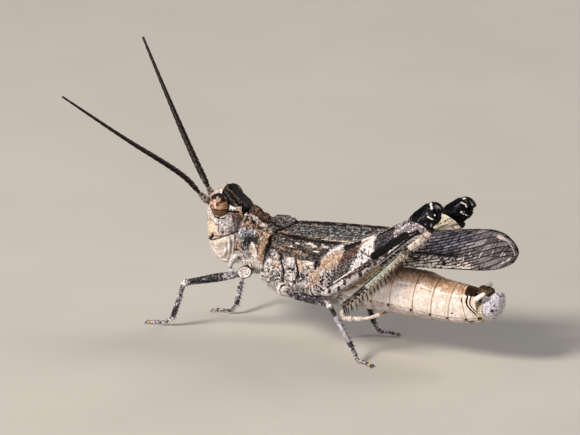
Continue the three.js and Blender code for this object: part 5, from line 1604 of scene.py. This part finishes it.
        foot = Shape()
        make_foot(
            foot, [lerp(ankle, sole, -0.1), lerp(ankle, sole, 0.55), sole, lerp(sole, toe, 0.5), toe - [0, 0, 0.03]],
            [0.145, 0.135, 0.115], 0.5 if far else 0.42, (0, 0, 1),
        )
        foot.points = [floor_clear(P) for P in foot.points]
        foot.piece(f"leg_foot_{name}", paint, "leg", f"tarsus_{name}")


# ---- Hind legs ----
# A hind leg is drawn flat: s runs from the hip to the knee, h across it and w outwards from the body.
FEMUR_LENGTH = 10.62
THIGH_UPPER = through(
    (0, 0.42), (0.7, 0.98), (1.9, 1.44), (2.8, 1.46), (4.35, 1.1), (5.6, 0.82), (7, 0.68), (8.2, 0.6), (9, 0.72),
    (9.7, 0.76), (10.2, 0.66), (10.45, 0.45), (FEMUR_LENGTH, 0.12),
)
THIGH_LOWER = through(
    (0, -0.42), (0.6, -0.8), (2.2, -0.92), (4.4, -0.78), (6.7, -0.62), (8, -0.56), (8.8, -0.8), (9.6, -0.92),
    (10.1, -0.76), (10.45, -0.4), (FEMUR_LENGTH, -0.12),
)
THIGH_HALF = through(
    (0, 0.36), (0.8, 0.56), (2.2, 0.62), (4.4, 0.5), (7, 0.33), (8.4, 0.33), (9.4, 0.42), (FEMUR_LENGTH, 0.3),
)
THIGH_ROW = through((0.3, -0.24), (1.5, -0.34), (2.5, -0.48), (3.6, -0.57), (4.8, -0.56), (6.6, -0.46))
KNEE_EDGE = through((-0.9, 9.1), (-0.45, 9.1), (-0.2, 9.0), (0.05, 8.82), (0.25, 8.6), (0.4, 8.4), (0.7, 8.45))
THIGH_FLANGE = through((0.3, 0.0), (1.2, 0.14), (3, 0.34), (5, 0.3), (6.5, 0.16), (7.4, 0.0))
HIND_HIPS = {"left": (-3.6, -2.12, 4.1), "right": (-3.7, 2.12, 4.05)}
HIND_KNEES = {"left": (3.9, -2.25, 9.85), "right": (4.3, 1.62, 9.1)}
SHIN_TOP, SHIN_END = 9.35, 0.85
SHIN_PATH = [(SHIN_TOP, -0.72), (8.3, -0.92), (7, -1), (5.5, -1.24), (3, -1.56), (SHIN_END, -1.8)]
SHIN_REAR = through((SHIN_END, -1.96), (3, -1.74), (5.5, -1.44), (7, -1.2), (8.3, -1.1))
SOLE_PATH = [(0.72, -1.95), (0.48, -2.3), (1.25, -2.86), (2, -3.22), (2.9, -3.42)]


def leg_plane(side):
    """A function that turns the flat drawing of a hind leg into place, and the ways along, up and outwards there."""
    hip, knee = np.array(HIND_HIPS[side]), np.array(HIND_KNEES[side])
    along = unit(knee - hip)
    out = unit(np.array([0, 1.0, 0]) - along * along[1])
    up = -np.cross(along, out)
    up = up * np.sign(up[2])
    out = out * SIDES[side]

    def place(s, h, w=0.0):
        s, h, w = np.broadcast_arrays(*(np.asarray(v, float) for v in (s, h, w)))
        return hip + along * s[..., None] + up * h[..., None] + out * w[..., None]

    return place, along, up, out


def thigh_relief(s, h, upper, lower, flat, top):
    """Ridges, slanting folds and the knee's lobes, as heights over the plain thigh."""
    shaft = band(s, 0.9, 8.3, 0.3)
    upper_line = h - (upper - 0.3 - 0.12 * bell(s - 2.4, 1.5))
    lower_line = h - lerp(-0.23, -0.3, ease(s, 4, 7))
    height = flat * shaft * (
        0.045 * bell(upper_line, 0.035) + 0.05 * bell(lower_line, 0.035) * (1 - 0.85 * band(s, 4.8, 8.3, 0.3))
            + 0.03 * bell(h - lower - 0.34, 0.03)
    )
    medial = flat * shaft * ease(upper_line, -0.02, -0.12) * ease(lower_line, 0.02, 0.1)
    slant = s - 0.75 * np.abs((lower_line + upper_line) / 2)
    height += medial * (0.035 * (0.5 + 0.5 * np.cos(slant * TURN / (0.34 - 0.012 * s))) - 0.025)
    height -= flat * shaft * 0.07 * bell(lower_line + 0.12, 0.07) * ease(s, 4.0, 5.2)
    crest = np.maximum(ease(s, 1.2, 2.6) * ease(s, 3.52, 3.42), ease(s, 4.2, 5.4) * ease(s, 5.7, 5.58))
    height += top * (0.07 * crest + 0.02 * np.sin(s * 21) * band(s, 1.5, 8, 0.2))
    arc = np.hypot(s - 9.32, h + 0.04) - 0.86
    knee = ease(s, 8.6, 9.0) * flat
    height += knee * 0.07 * bell(arc, 0.07) * ease(h, -0.4, -0.1)
    height -= knee * 0.08 * bell(arc - 0.15, 0.035) * ease(s, 9.4, 9.7)
    height += knee * 0.07 * bell(arc - 0.34, 0.1) * ease(s, 9.7, 10.0)
    height -= knee * 0.07 * bell(h + 0.34 - 0.12 * (s - 9.6), 0.035) * ease(s, 9.0, 9.5)
    height += knee * (0.06 * bell(np.hypot(s - 9.2, h - 0.1), 0.35) + 0.05 * spot(s, h, (9.3, -0.62), (0.4, 0.14)))
    return height - flat * 0.05 * bell(s - 8.45 - 0.3 * np.abs(h), 0.05)


def thigh_marks(s, h, outer, inner):
    """The pattern of a thigh. lean and tilted are the places along the thigh where its leaning bands cross h = -0.1
    and h = 0."""
    lean, tilted = s - 0.9 * (h + 0.1), s - 1.75 * h
    wide = ease(h, -0.22, -0.1)
    knee = ease(s - KNEE_EDGE(h), -0.06, 0.06)
    rest = outer * (1 - knee)
    pattern = {
        "tan": rest * marks(
            s, h, (1, (2.1, 0.98), (1.3, 0.36), -0.06), (1, (0.4, 0.6), (0.65, 0.42)),
            (1, [(4.2, 0.85), (5.5, 0.74)], 0.15), (0.6, (7.4, 0.5), (0.7, 0.12))),
        "brown": rest * most(
            marks(
                s, h, (0.8, [(1.5, -0.2), (2.5, -0.36), (3.6, -0.46), (4.8, -0.46)], 0.11),
                (0.75, [(4.6, -0.35), (5.6, -0.45)], 0.06), (0.6, [(7.0, 0.0), (8.3, 0.3)], 0.03)),
            0.85 * band(tilted, 1.6, 3.2, 0.16) * band(h, 0.38, 1.05, 0.1)),
        "bars": rest * most(
            *[
                1.3 * stroke(s, h, [(c, d), (c + 0.2, d + 0.16)], 0.075)
                    for c, d in (
                        (0.85, -0.62), (1.45, -0.8), (2.1, -0.68), (2.7, -0.5), (3.3, -0.78), (3.5, -0.52),
                        (4.15, -0.5), (4.55, -0.72), (5.0, -0.5), (5.55, -0.62))]),
        "speckle": rest * 0.85 * band(tilted, 1.56, 3.2, 0.16) * band(h, -0.36, 0.5, 0.08),
        "grey": rest * most(
            0.95 * band(lean, 5.08, 6.65, 0.1) * wide, 0.62 * stroke(s, h, [(6.9, 0.66), (8.0, 0.58)], 0.05)),
        "shaded": rest * 0.62 * band(s, 7.2, 8.6, 0.2) * ease(h, -0.3, -0.1),
        "pale": rest * most(
            marks(
                s, h, (1.2, [(1.5, -0.52), (2.2, -0.46)], 0.09), (1.2, [(3.6, -0.7), (4.3, -0.68)], 0.1),
                (1.05, [(6.0, -0.46), (6.6, -0.42)], 0.07), (1, [(1.6, -0.24), (3.4, -0.22), (4.8, -0.16)], 0.04),
                (0.6, [(6.9, 0.3), (8.3, 0.3)], 0.1), (0.6, [(7.3, -0.12), (8.6, -0.1)], 0.08),
                (0.8, [(2.2, 1.42), (3.42, 1.32)], 0.07), (0.9, [(4.7, 0.96), (5.55, 0.82)], 0.07)),
            0.8 * ease(tilted, 3.2, 3.6) * ease(lean, 5.05, 4.85) * ease(h, 0.85, 0.7) * wide,
            0.9 * ease(h - THIGH_LOWER(s), 0.03, 0.1) * ease(THIGH_ROW(s) - h, 0.0, 0.07) * band(s, 0.2, 6.2, 0.15)),
        "black": most(
            rest * marks(
                s, h, (1.5, [(5.0, -0.24), (6.4, -0.2), (7.6, -0.16)], 0.19),
                (1.1, [(7.5, -0.14), (8.5, -0.36)], 0.06), (1.2, [(3.6, 1.14), (4.55, 1.04)], 0.15),
                # The wide black stroke along the lower edge from s 5 to 8.4 is painted shadow between the thigh and
                # the shin.
                (1, (1.2, 1.2), (0.25, 0.13)), (1.1, [(5.0, -0.86), (6.0, -0.72), (7.2, -0.6), (8.4, -0.56)], 0.16),
                (0.7, [(5.6, -0.42), (7.6, -0.4)], 0.05), (1.1, [(6.05, 0.8), (7.1, 0.62)], 0.12),
                (0.95, (7.85, 0.42), (0.1, 0.06)), (0.95, (8.3, 0.42), (0.12, 0.07)),
                (0.95, (7.3, 0.02), (0.12, 0.05))),
            inner * (1 - knee) * marks(
                s, h, (0.95, (5.6, 0.3), (0.9, 0.8)), (0.9, (3.0, 0.5), (0.5, 0.8)),
                (0.62, [(7.7, -0.12), (8.9, -0.1)], 0.06))),
        "cream": inner * (1 - knee) * 0.9, "knee": knee,
        "grey_knee": knee * most(
            outer * marks(
                s, h, (0.75, (10.55, 0.25), (0.14, 0.22)), (0.8, (9.3, -0.26), (0.1, 0.06)),
                (0.85, (9.56, -0.5), (0.14, 0.06), 0.6), (0.8, (9.75, -0.74), (0.16, 0.08)),
                (0.75, [(8.92, 0.1), (9.1, 0.2), (9.35, 0.22), (9.5, 0.16)], 0.025),
                (0.8, (9.75, 0.24), (0.1, 0.09))),
            # On the inner knee, the grey stroke from s 9.5 to 10.05 along the upper lobe is a painted reflection.
            inner * marks(
                s, h, (0.7, (10.6, 0.05), (0.12, 0.16)), (0.62, [(9.5, 0.42), (10.05, 0.44)], 0.05),
                (0.8, (9.98, -0.12), (0.07, 0.05)))),
        # White on the knees: painted highlights, small glints on the black knee lobes.
        "white": knee * most(
            outer * marks(
                s, h, (1, (10.22, 0.42), (0.07, 0.17), -0.25), (1, (10.22, 0.56), (0.1, 0.06)),
                (1, [(9.72, 0.06), (9.78, -0.08), (9.9, -0.26)], 0.04), (0.9, (10.18, -0.1), (0.05, 0.06))),
            inner * marks(
                s, h, (1, [(10.08, 0.46), (10.25, 0.26), (10.27, 0.08)], 0.035),
                (0.9, [(10.2, 0.6), (10.42, 0.5)], 0.025), (1, (9.8, -0.06), (0.07, 0.06)),
                (1, [(9.82, -0.18), (9.95, -0.34), (10.06, -0.42)], 0.025))),
        "gloss": knee,
    }
    pattern["dots"] = (
        rest * np.maximum(
            band(tilted, -1.6, 1.7, 0.15) * ease(h, 0.7, 0.4), 0.85 * band(lean, 3.4, 4.9, 0.1) * ease(h, 0.8, 0.6))
        + 0.5 * rest * band(s, 6.9, 8.4, 0.2)
    )
    return pattern


def make_thighs():
    shell = mottle(
        "thigh_shell", "352d2d 7d7373 afa6a8 dcd4d6",
        [
            ("tan", "735a48 a88d78 d2bda9", 1.8), ("grey", "080708 2f2c2f 68646c", 1.3),
            ("brown", "1f110d 4d3831 83695e", 1.9), ("speckle", "090707 3a3330 9b918e", 1.7),
            ("shaded", "423c40 7f767d a8a0a7", 1.6), ("pale", "b3a5a3 e9e1df fffdfc", 1.5),
            ("cream", "cabb96 eadfc2 fbf3e0", 0.8), ("bars", "1c0f0b 4a342c 7d6258", 1.2),
            ("black", "000000 020202 0d0c0d", 1.6), ("knee", "000000 030304 0c0b0f", 0.7),
            ("grey_knee", "4c4a50 86848c", 0.6), ("white", "d9d4cc f7f5f1", 0.35),
            ("flange", "2f2012 6b5437 a8936c", 1.2)],
        grain=1.15, dots="dots", gloss=0.44, shine="gloss", bump=0.7,
    )
    for side in SIDES:
        place, along, up, _ = leg_plane(side)
        rows = 370
        t, a = ring_grid(rows, 152)
        s = lerp(0.02, FEMUR_LENGTH, 0.5 - 0.5 * np.cos(math.pi * t) * (1 - 0.35 * np.sin(math.pi * t) ** 2))
        upper, lower, half = THIGH_UPPER(s), THIGH_LOWER(s), THIGH_HALF(s)
        c, n = np.cos(a), np.sin(a)
        h = (upper + lower) / 2 + (upper - lower) / 2 * power(n, 1.1)
        w = half * power(c, 0.85) * lerp(
            0.35, 1, np.sqrt(np.clip(1 - ease(s, FEMUR_LENGTH - 0.25, FEMUR_LENGTH) ** 2, 0, 1)),
        )
        outer, inner = ease(w / half, 0.1, 0.4), ease(-w / half, 0.1, 0.4)
        top = ease(n, 0.75, 0.95)
        P = place(s, h, w)
        height = (
            thigh_relief(s, h, upper, lower, np.maximum(outer, inner), top) + 0.02 * noise(P, 3, 21, 3)
            + 0.006 * noise(P, 12, 22, 2)
        )
        N = grid_normals(P, True)
        outward = 1.0 if np.sum(N[rows // 2, 0] * (P[rows // 2, 0] - P[rows // 2].mean(0))) > 0 else -1.0
        P = P + N * (outward * height)[..., None]
        cleft = ease(-n, 0.55, 0.9) * bell(w, 0.22) * 0.5 * ease(s, 8.4, 9.0)
        flap = THIGH_FLANGE(s) * ease(-n, 0.5, 0.93) * ease(-c, -0.12, 0.05)
        P = P + up * (cleft - flap)[..., None] - along * (0.26 * bell(h + 0.34, 0.1) * ease(s, 9.9, 10.35))[..., None]
        pattern = thigh_marks(s, h, outer, inner)
        # Past s 4.4 to 5 the flange under the thigh is painted black: painted shadow in the gap between the thigh and
        # the shin.
        pattern["black"] = np.maximum(pattern["black"], ease(flap, 0.01, 0.07) * ease(s, 4.4, 5.0))
        pattern["knee"] = np.maximum(pattern["knee"], ease(s, 8.5, 8.75) * top)
        femur = Shape()
        femur.grid(
            P, wrap=True, caps=True, flip=(outward < 0), flange=ease(flap, 0.01, 0.07) * ease(s, 5.0, 4.4), **pattern
        )
        femur.piece(f"hind_femur_{side}", shell, "leg", f"femur_hind_{side}")


def make_shins():
    paint = Paint("shin_shell", 0.3, Coat_Weight=0.15, Coat_Roughness=0.2)
    place_s = paint.field("s")
    middle = paint.noise(4, 4, 0.65, seed=5)
    fine = paint.noise(16, 3, 0.65, seed=9)
    base = paint.tones("8b9a88 a9b5a4 c9cfbf", middle)
    base = paint.mark(
        base, "6d675c 9c9484 c9c0b0", fine, paint.less(paint.times(place_s, 0.7), 3.55), middle, 0.2, 1.0,
    )
    base = paint.mix(
        base, paint.tones("a58f7c d9c8bb f0e6dd", paint.noise(6, 4, 0.7, seed=12)), paint.step(place_s, 7.1, 7.3),
    )
    base = paint.mark(base, "8a6c5a c4a795", fine, "tan", middle, 0.1, 1.0)
    base = paint.mark(
        base, "0b0908 1c1714 4a4036", paint.noise(7, 4, 0.75, seed=22), "dark", paint.noise(6, 4, 0.75, seed=17), 0.1,
        1.1,
    )
    base = paint.mix(base, "efe9dc", paint.mask("pale", fine, 0.1, 0.6))
    spine = paint.ramp(
        paint.field("tip"), (0.0, "efe6d6"), (0.14, "cdb28c"), (0.26, "6b3717"), (0.42, "2c150a"), (0.7, "0a0503"),
    )
    base = paint.mix(base, spine, paint.field("spine"))
    material = paint.finish(base, None, paint.add(fine, middle), 0.3, 0.015)
    for side in SIDES:
        place, along, up, _ = leg_plane(side)
        shape = Shape()
        line = [place(s, h) for s, h in SHIN_PATH]
        P, t, a = limb(
            line, through((0, 0.19), (0.05, 0.2), (0.12, 0.165), (0.5, 0.16), (0.9, 0.17), (0.97, 0.19), (1, 0.16)),
            through((0, 0.21), (0.05, 0.24), (0.12, 0.19), (0.5, 0.19), (0.9, 0.185), (0.97, 0.2), (1, 0.17)), up=up,
            sides=44, steps=240,
        )
        s = lerp(SHIN_TOP, SHIN_END, t)
        height = (
            0.02 * (bell(np.sin(a - 4.0), 0.12) + bell(np.sin(a - 5.42), 0.12)) * ease(-np.sin(a), 0.2, 0.5)
            + 0.008 * noise(P, 5, 3, 3)
        )
        height -= 0.04 * bell(s - 8.55, 0.05) - 0.02 * bell(s - 8.7, 0.08)
        dark = most(
            0.95 * band(s, 6.6, 7.15, 0.2), 0.95 * ease(s, 3.3, 2.9),
            # The dark stripe along the shin's upper side (sin(a) above 0.5, s 2 to 6.3) is painted shade under the
            # thigh.
            1.3 * ease(np.sin(a), 0.5, 0.72) * band(s, 2.0, 6.3, 0.3), 0.75 * band(s, 8.5, 8.62, 0.04),
            0.9 * ease(s, 8.95, 9.15), 0.9 * spot(s, np.sin(a), (7.75, 0.2), (0.1, 0.3)),
            0.85 * ease(-np.sin(a), 0.8, 0.95) * band(s, 5.6, 6.8, 0.3),
            0.75 * ease(-np.sin(a), 0.3, 0.6) * bell(np.mod(s + 0.08, 0.334) - 0.16, 0.06) * band(s, 1.2, 6.8, 0.2),
        )
        tan = marks(s, np.sin(a), (0.9, (8.4, 0.2), (0.2, 0.5)), (0.6, (7.6, -0.2), (0.3, 0.6)))
        shape.tube(P, height, s=s, dark=dark, tan=tan, pale=0.6 * bell(s - 8.0, 0.12))
        for way in (-1, 1):
            places = np.linspace(6.6, 1.25, 17) + (0.15 if way < 0 else 0.0)
            rears = SHIN_REAR(places)
            longer = 0.58 + 0.1 * np.sin(7.1 * places)
            roots = place(places, rears + 0.1, way * 0.1)
            tips = place(places - 0.24 - 0.05 * np.sin(5.3 * places), rears - longer, way * 0.26)
            shape.spikes(roots, tips, 0.052, sides=9, rings=8, taper=0.7, bend=0.05 * along, spine=1.0, s=3.0)
            for reach, spread in ((0.55, 0.16), (0.4, 0.26)):
                root, tip = place(0.95, -1.88, way * 0.1), place(0.75, -1.88 - reach, way * spread)
                shape.spikes(root, tip, 0.06, sides=9, rings=8, taper=0.75, dark=1.0, s=1.0)
        shape.piece(f"hind_tibia_{side}", material, "shin", f"tibia_hind_{side}")


def make_hind_feet():
    paint = Paint("hind_foot_shell", 0.36)
    middle = paint.noise(5, 4, 0.7, seed=5)
    base = paint.tones("a88f79 dccbbc f3eae2", middle)
    base = paint.mix(base, "b07a4c", paint.mask("tan", middle, 0.15, 1.2))
    base = paint.mix(base, "17100d", paint.mask("dark", paint.noise(8, 3, seed=9), 0.1, 0.6))
    base = paint.mix(base, "f6efe6", paint.mask("pale", middle, 0.15, 0.6))
    material = paint.finish(base, None, paint.noise(18, 3, seed=7), 0.35, 0.015)
    for side, sign in SIDES.items():
        place, _, up, _ = leg_plane(side)
        foot = Shape()
        path = [place(s, h) for s, h in SOLE_PATH]
        make_foot(foot, path, [0.165, 0.14, 0.115], 0.12, up)
        foot.piece(f"hind_foot_{side}", material, "pale_shell", f"tarsus_hind_{side}")
        coxa = Shape()
        line = [(-4.25, sign * 0.95, 3.5), (-3.95, sign * 1.4, 3.65), place(0.28, 0.0)]
        P, s, _ = limb(line, through((0, 0.48), (0.6, 0.44), (1, 0.32)), sides=60, steps=60)
        height = 0.025 * noise(P, 3, 4, 3) - 0.05 * bell(s - 0.62, 0.03) + 0.03 * bell(s - 0.54, 0.04)
        coxa.tube(P, height, dark=0.8 * bell(s - 0.62, 0.04) + 0.3, pale=0.6 * bell(s - 0.4, 0.12))
        coxa.piece(f"leg_coxa_hind_{side}", SHELL, "shell", f"coxa_hind_{side}")


# ---- Hairs ----
def hair_coat(name, material, roots, ways, lengths, radius, unwrapped):
    """Short solid hairs. unwrapped holds each root's place on an unwrap of the skin, for baking."""
    shape = Shape()
    lengths = np.asarray(lengths, float)[:, None]
    ways = unit(ways)
    sag = -0.16 * lengths * [0, 0, 1.0]
    shape.spikes(roots - 0.03 * ways, roots + lengths * ways, radius, sides=3, rings=3, taper=0.6, bend=sag,
        bake_u=unwrapped[:, 0], bake_v=unwrapped[:, 1])
    shape.piece(name, material, "pale_shell")


def hair_paint():
    paint = Paint("white_hair", 0.5)
    tone = paint.add(paint.times(paint.noise(3, 3, seed=5), 0.7), paint.times(paint.field("tip"), 0.3))
    return paint.finish(paint.tones("b9aea4 e8e0d8 fffdfa", tone, 0.3, 0.75), None, paint.noise(40, 2), 0.2, 0.002)


def make_hairs():
    white = hair_paint()
    random = np.random.default_rng(11)

    count = 2600
    x, angle = random.uniform(-7.5, -2.7, count), random.uniform(math.pi, TURN, count)
    roots = trunk_points(x, angle, 2 / 2.7)
    out = unit(roots - np.stack([x, 0 * x, 0 * x + 4.6], axis=-1))
    ways = out + random.normal(0, 0.25, (count, 3)) + np.array([0.15, 0, -0.25])
    low = ease(roots[:, 2], 4.6, 3.6)
    keep = random.uniform(0, 1, count) < 0.12 + 0.88 * low
    lengths = random.uniform(0.2, 0.5, count) * (0.5 + 0.5 * low)
    spread = np.stack([(x + 7.5) / 4.8, angle / TURN], axis=-1)
    hair_coat("breast_hair", white, roots[keep], ways[keep], lengths[keep], 0.012, spread[keep])

    count = 700
    x, angle = random.uniform(5.9, 7.9, count), random.uniform(0, TURN, count)
    roots, ways = tail_points((x - 5.9) / 2.0, angle)
    lengths = random.uniform(0.08, 0.2, count)
    hair_coat(
        "tail_hair", white, roots, ways + random.normal(0, 0.3, (count, 3)), lengths, 0.008,
        np.stack([(x - 5.9) / 2, angle / TURN], axis=-1),
    )

    for side in SIDES:
        place, along, up, outward = leg_plane(side)
        count = 620
        s = random.uniform(0.8, 9.0, count)
        around = random.uniform(-math.pi, math.pi, count)
        centre = np.interp(s, *zip(*SHIN_PATH[::-1]))
        roots = place(s, centre + 0.17 * np.sin(around), 0.15 * np.cos(around))
        ways = (
            up * np.sin(around)[:, None] + outward * np.cos(around)[:, None] - along * 0.45
            + random.normal(0, 0.18, (count, 3))
        )
        lengths = random.uniform(0.18, 0.46, count)
        hair_coat(
            f"shin_hair_{side}", white, roots, ways, lengths, 0.011, np.stack([s / 10, around / 7 + 0.5], axis=-1),
        )

        count = 520
        s = random.uniform(0.6, 8.6, count)
        below = random.uniform(0, 1, count) < 0.72
        h = np.where(below, THIGH_LOWER(s) + 0.02, THIGH_UPPER(s) - 0.02)
        roots = place(s, h, random.uniform(0.0, 0.14, count))
        ways = (
            up * np.where(below, -1.0, 1.0)[:, None] + outward * 0.5 + along * 0.5
            + random.normal(0, 0.25, (count, 3))
        )
        lengths = random.uniform(0.07, 0.2, count)
        hair_coat(
            f"thigh_hair_{side}", white, roots, ways, lengths, 0.008, np.stack([s / 10, 0.25 + 0.5 * below], axis=-1),
        )

    for name, places in WALKING_LEGS.items():
        _, socket, knee, ankle, sole, _ = (np.array(p, float) for p in places)
        roots, ways, spread = [], [], []
        for part, (a, b, radius) in enumerate(((socket, knee, 0.19), (knee, ankle, 0.14), (ankle, sole, 0.11))):
            count = (170, 150, 30)[part]
            t, around = random.uniform(0.08, 0.97, count), random.uniform(0, TURN, count)
            along = unit(b - a)
            side_way = unit(np.cross(along, [0.0, 0.3, 1.0]))
            rise = np.cross(side_way, along)
            out = np.cos(around)[:, None] * side_way + np.sin(around)[:, None] * rise
            roots.append(lerp(a, b, t[:, None]) + out * radius)
            ways.append(out + 0.7 * along + random.normal(0, 0.2, (count, 3)))
            spread.append(np.stack([(part + t) / 3, around / TURN], axis=-1))
        roots, ways, spread = (np.concatenate(v) for v in (roots, ways, spread))
        lengths = random.uniform(0.08, 0.2, len(roots))
        hair_coat(f"leg_hair_{name}", white, roots, ways, lengths, 0.008, spread)


# ---- Camera, floor and light ----
AZIMUTH, ELEVATION = math.radians(25), math.radians(19)
PIXELS_PER_MM = 16.35
VIEW_PLACE = (-5.775, 8.107)
CAMERA_DISTANCE = 600.0
FRAME_WIDTH = 580
SENSOR_WIDTH = 36.0
SKY_COLOUR, SKY_STRENGTH = "dcdcde", 0.29
FLOOR_REACH, FLOOR_DROP = 3000, 0.002
# Each light has its place and size in millimetres, its watts and its colour.
LIGHTS = {
    "key": ((-160, -240, 250), 110, 1.4, "fff4e6"),
    "fill": ((-90, -280, 35), 220, 0.36, "f4f2ff"),
    "rim": ((180, 210, 210), 160, 0.4, "fff8f0"),
}
LIGHTS_AIM = (-5, 0, 5)


def make_stage():
    right = np.array([math.cos(AZIMUTH), math.sin(AZIMUTH), 0])
    up = np.array(
        [-math.sin(AZIMUTH) * math.sin(ELEVATION), math.cos(AZIMUTH) * math.sin(ELEVATION), math.cos(ELEVATION)]
    )
    back = np.cross(right, up)
    focus = right * VIEW_PLACE[0] + up * VIEW_PLACE[1] + back * 1.5
    camera = bpy.data.objects.new("camera", bpy.data.cameras.new("camera"))
    bpy.context.scene.collection.objects.link(camera)
    camera.data.sensor_width = SENSOR_WIDTH
    camera.data.lens = SENSOR_WIDTH * CAMERA_DISTANCE / (FRAME_WIDTH / PIXELS_PER_MM)
    camera.data.clip_start, camera.data.clip_end = 0.02, 20.0
    camera.location = Vector(placed(focus + back * CAMERA_DISTANCE))
    camera.rotation_mode = "QUATERNION"
    camera.rotation_quaternion = Vector(-back).to_track_quat("-Z", "Y")
    bpy.context.scene.camera = camera

    world = bpy.data.worlds.new("studio")
    bpy.context.scene.world = world
    world.use_nodes = True
    sky = world.node_tree.nodes["Background"]
    sky.inputs[0].default_value, sky.inputs[1].default_value = colour(SKY_COLOUR), SKY_STRENGTH
    for name, (place, size, watts, tint) in LIGHTS.items():
        light = bpy.data.objects.new(name, bpy.data.lights.new(name, "AREA"))
        bpy.context.scene.collection.objects.link(light)
        light.data.shape = "DISK"
        light.data.size = size * MM
        light.data.energy = watts
        light.data.color = colour(tint)[:3]
        light.location = Vector(placed(place))
        aim = Vector(placed(LIGHTS_AIM)) - light.location
        light.rotation_mode = "QUATERNION"
        light.rotation_quaternion = aim.to_track_quat("-Z", "Y")

    shape = Shape()
    x, y = (FLOOR_REACH * (2 * v - 1) for v in flat_grid(61, 61))
    shape.grid(np.stack([x, y, 0 * x - FLOOR_DROP], axis=-1), flip=True)
    paint = Paint("floor_card", 0.8)
    base = paint.ramp(paint.noise(0.08, 4, 0.5), (0.3, "c2bfba"), (0.7, "c8c5c0"))
    shape.thing("floor", paint.finish(base, None, paint.noise(6, 3), 0.08, 0.01))
    bpy.context.scene.view_settings.view_transform = "Standard"


# ---- Build ----
for make in (
    make_stage, make_head, make_eyes, make_ocelli, make_mouth, make_palps, make_feelers, make_pronotum,
    make_prosternum, make_thorax, make_abdomen, make_tegmina, make_hindwings, make_walking_legs, make_thighs,
    make_shins, make_hind_feet, make_hairs,
):
    make()
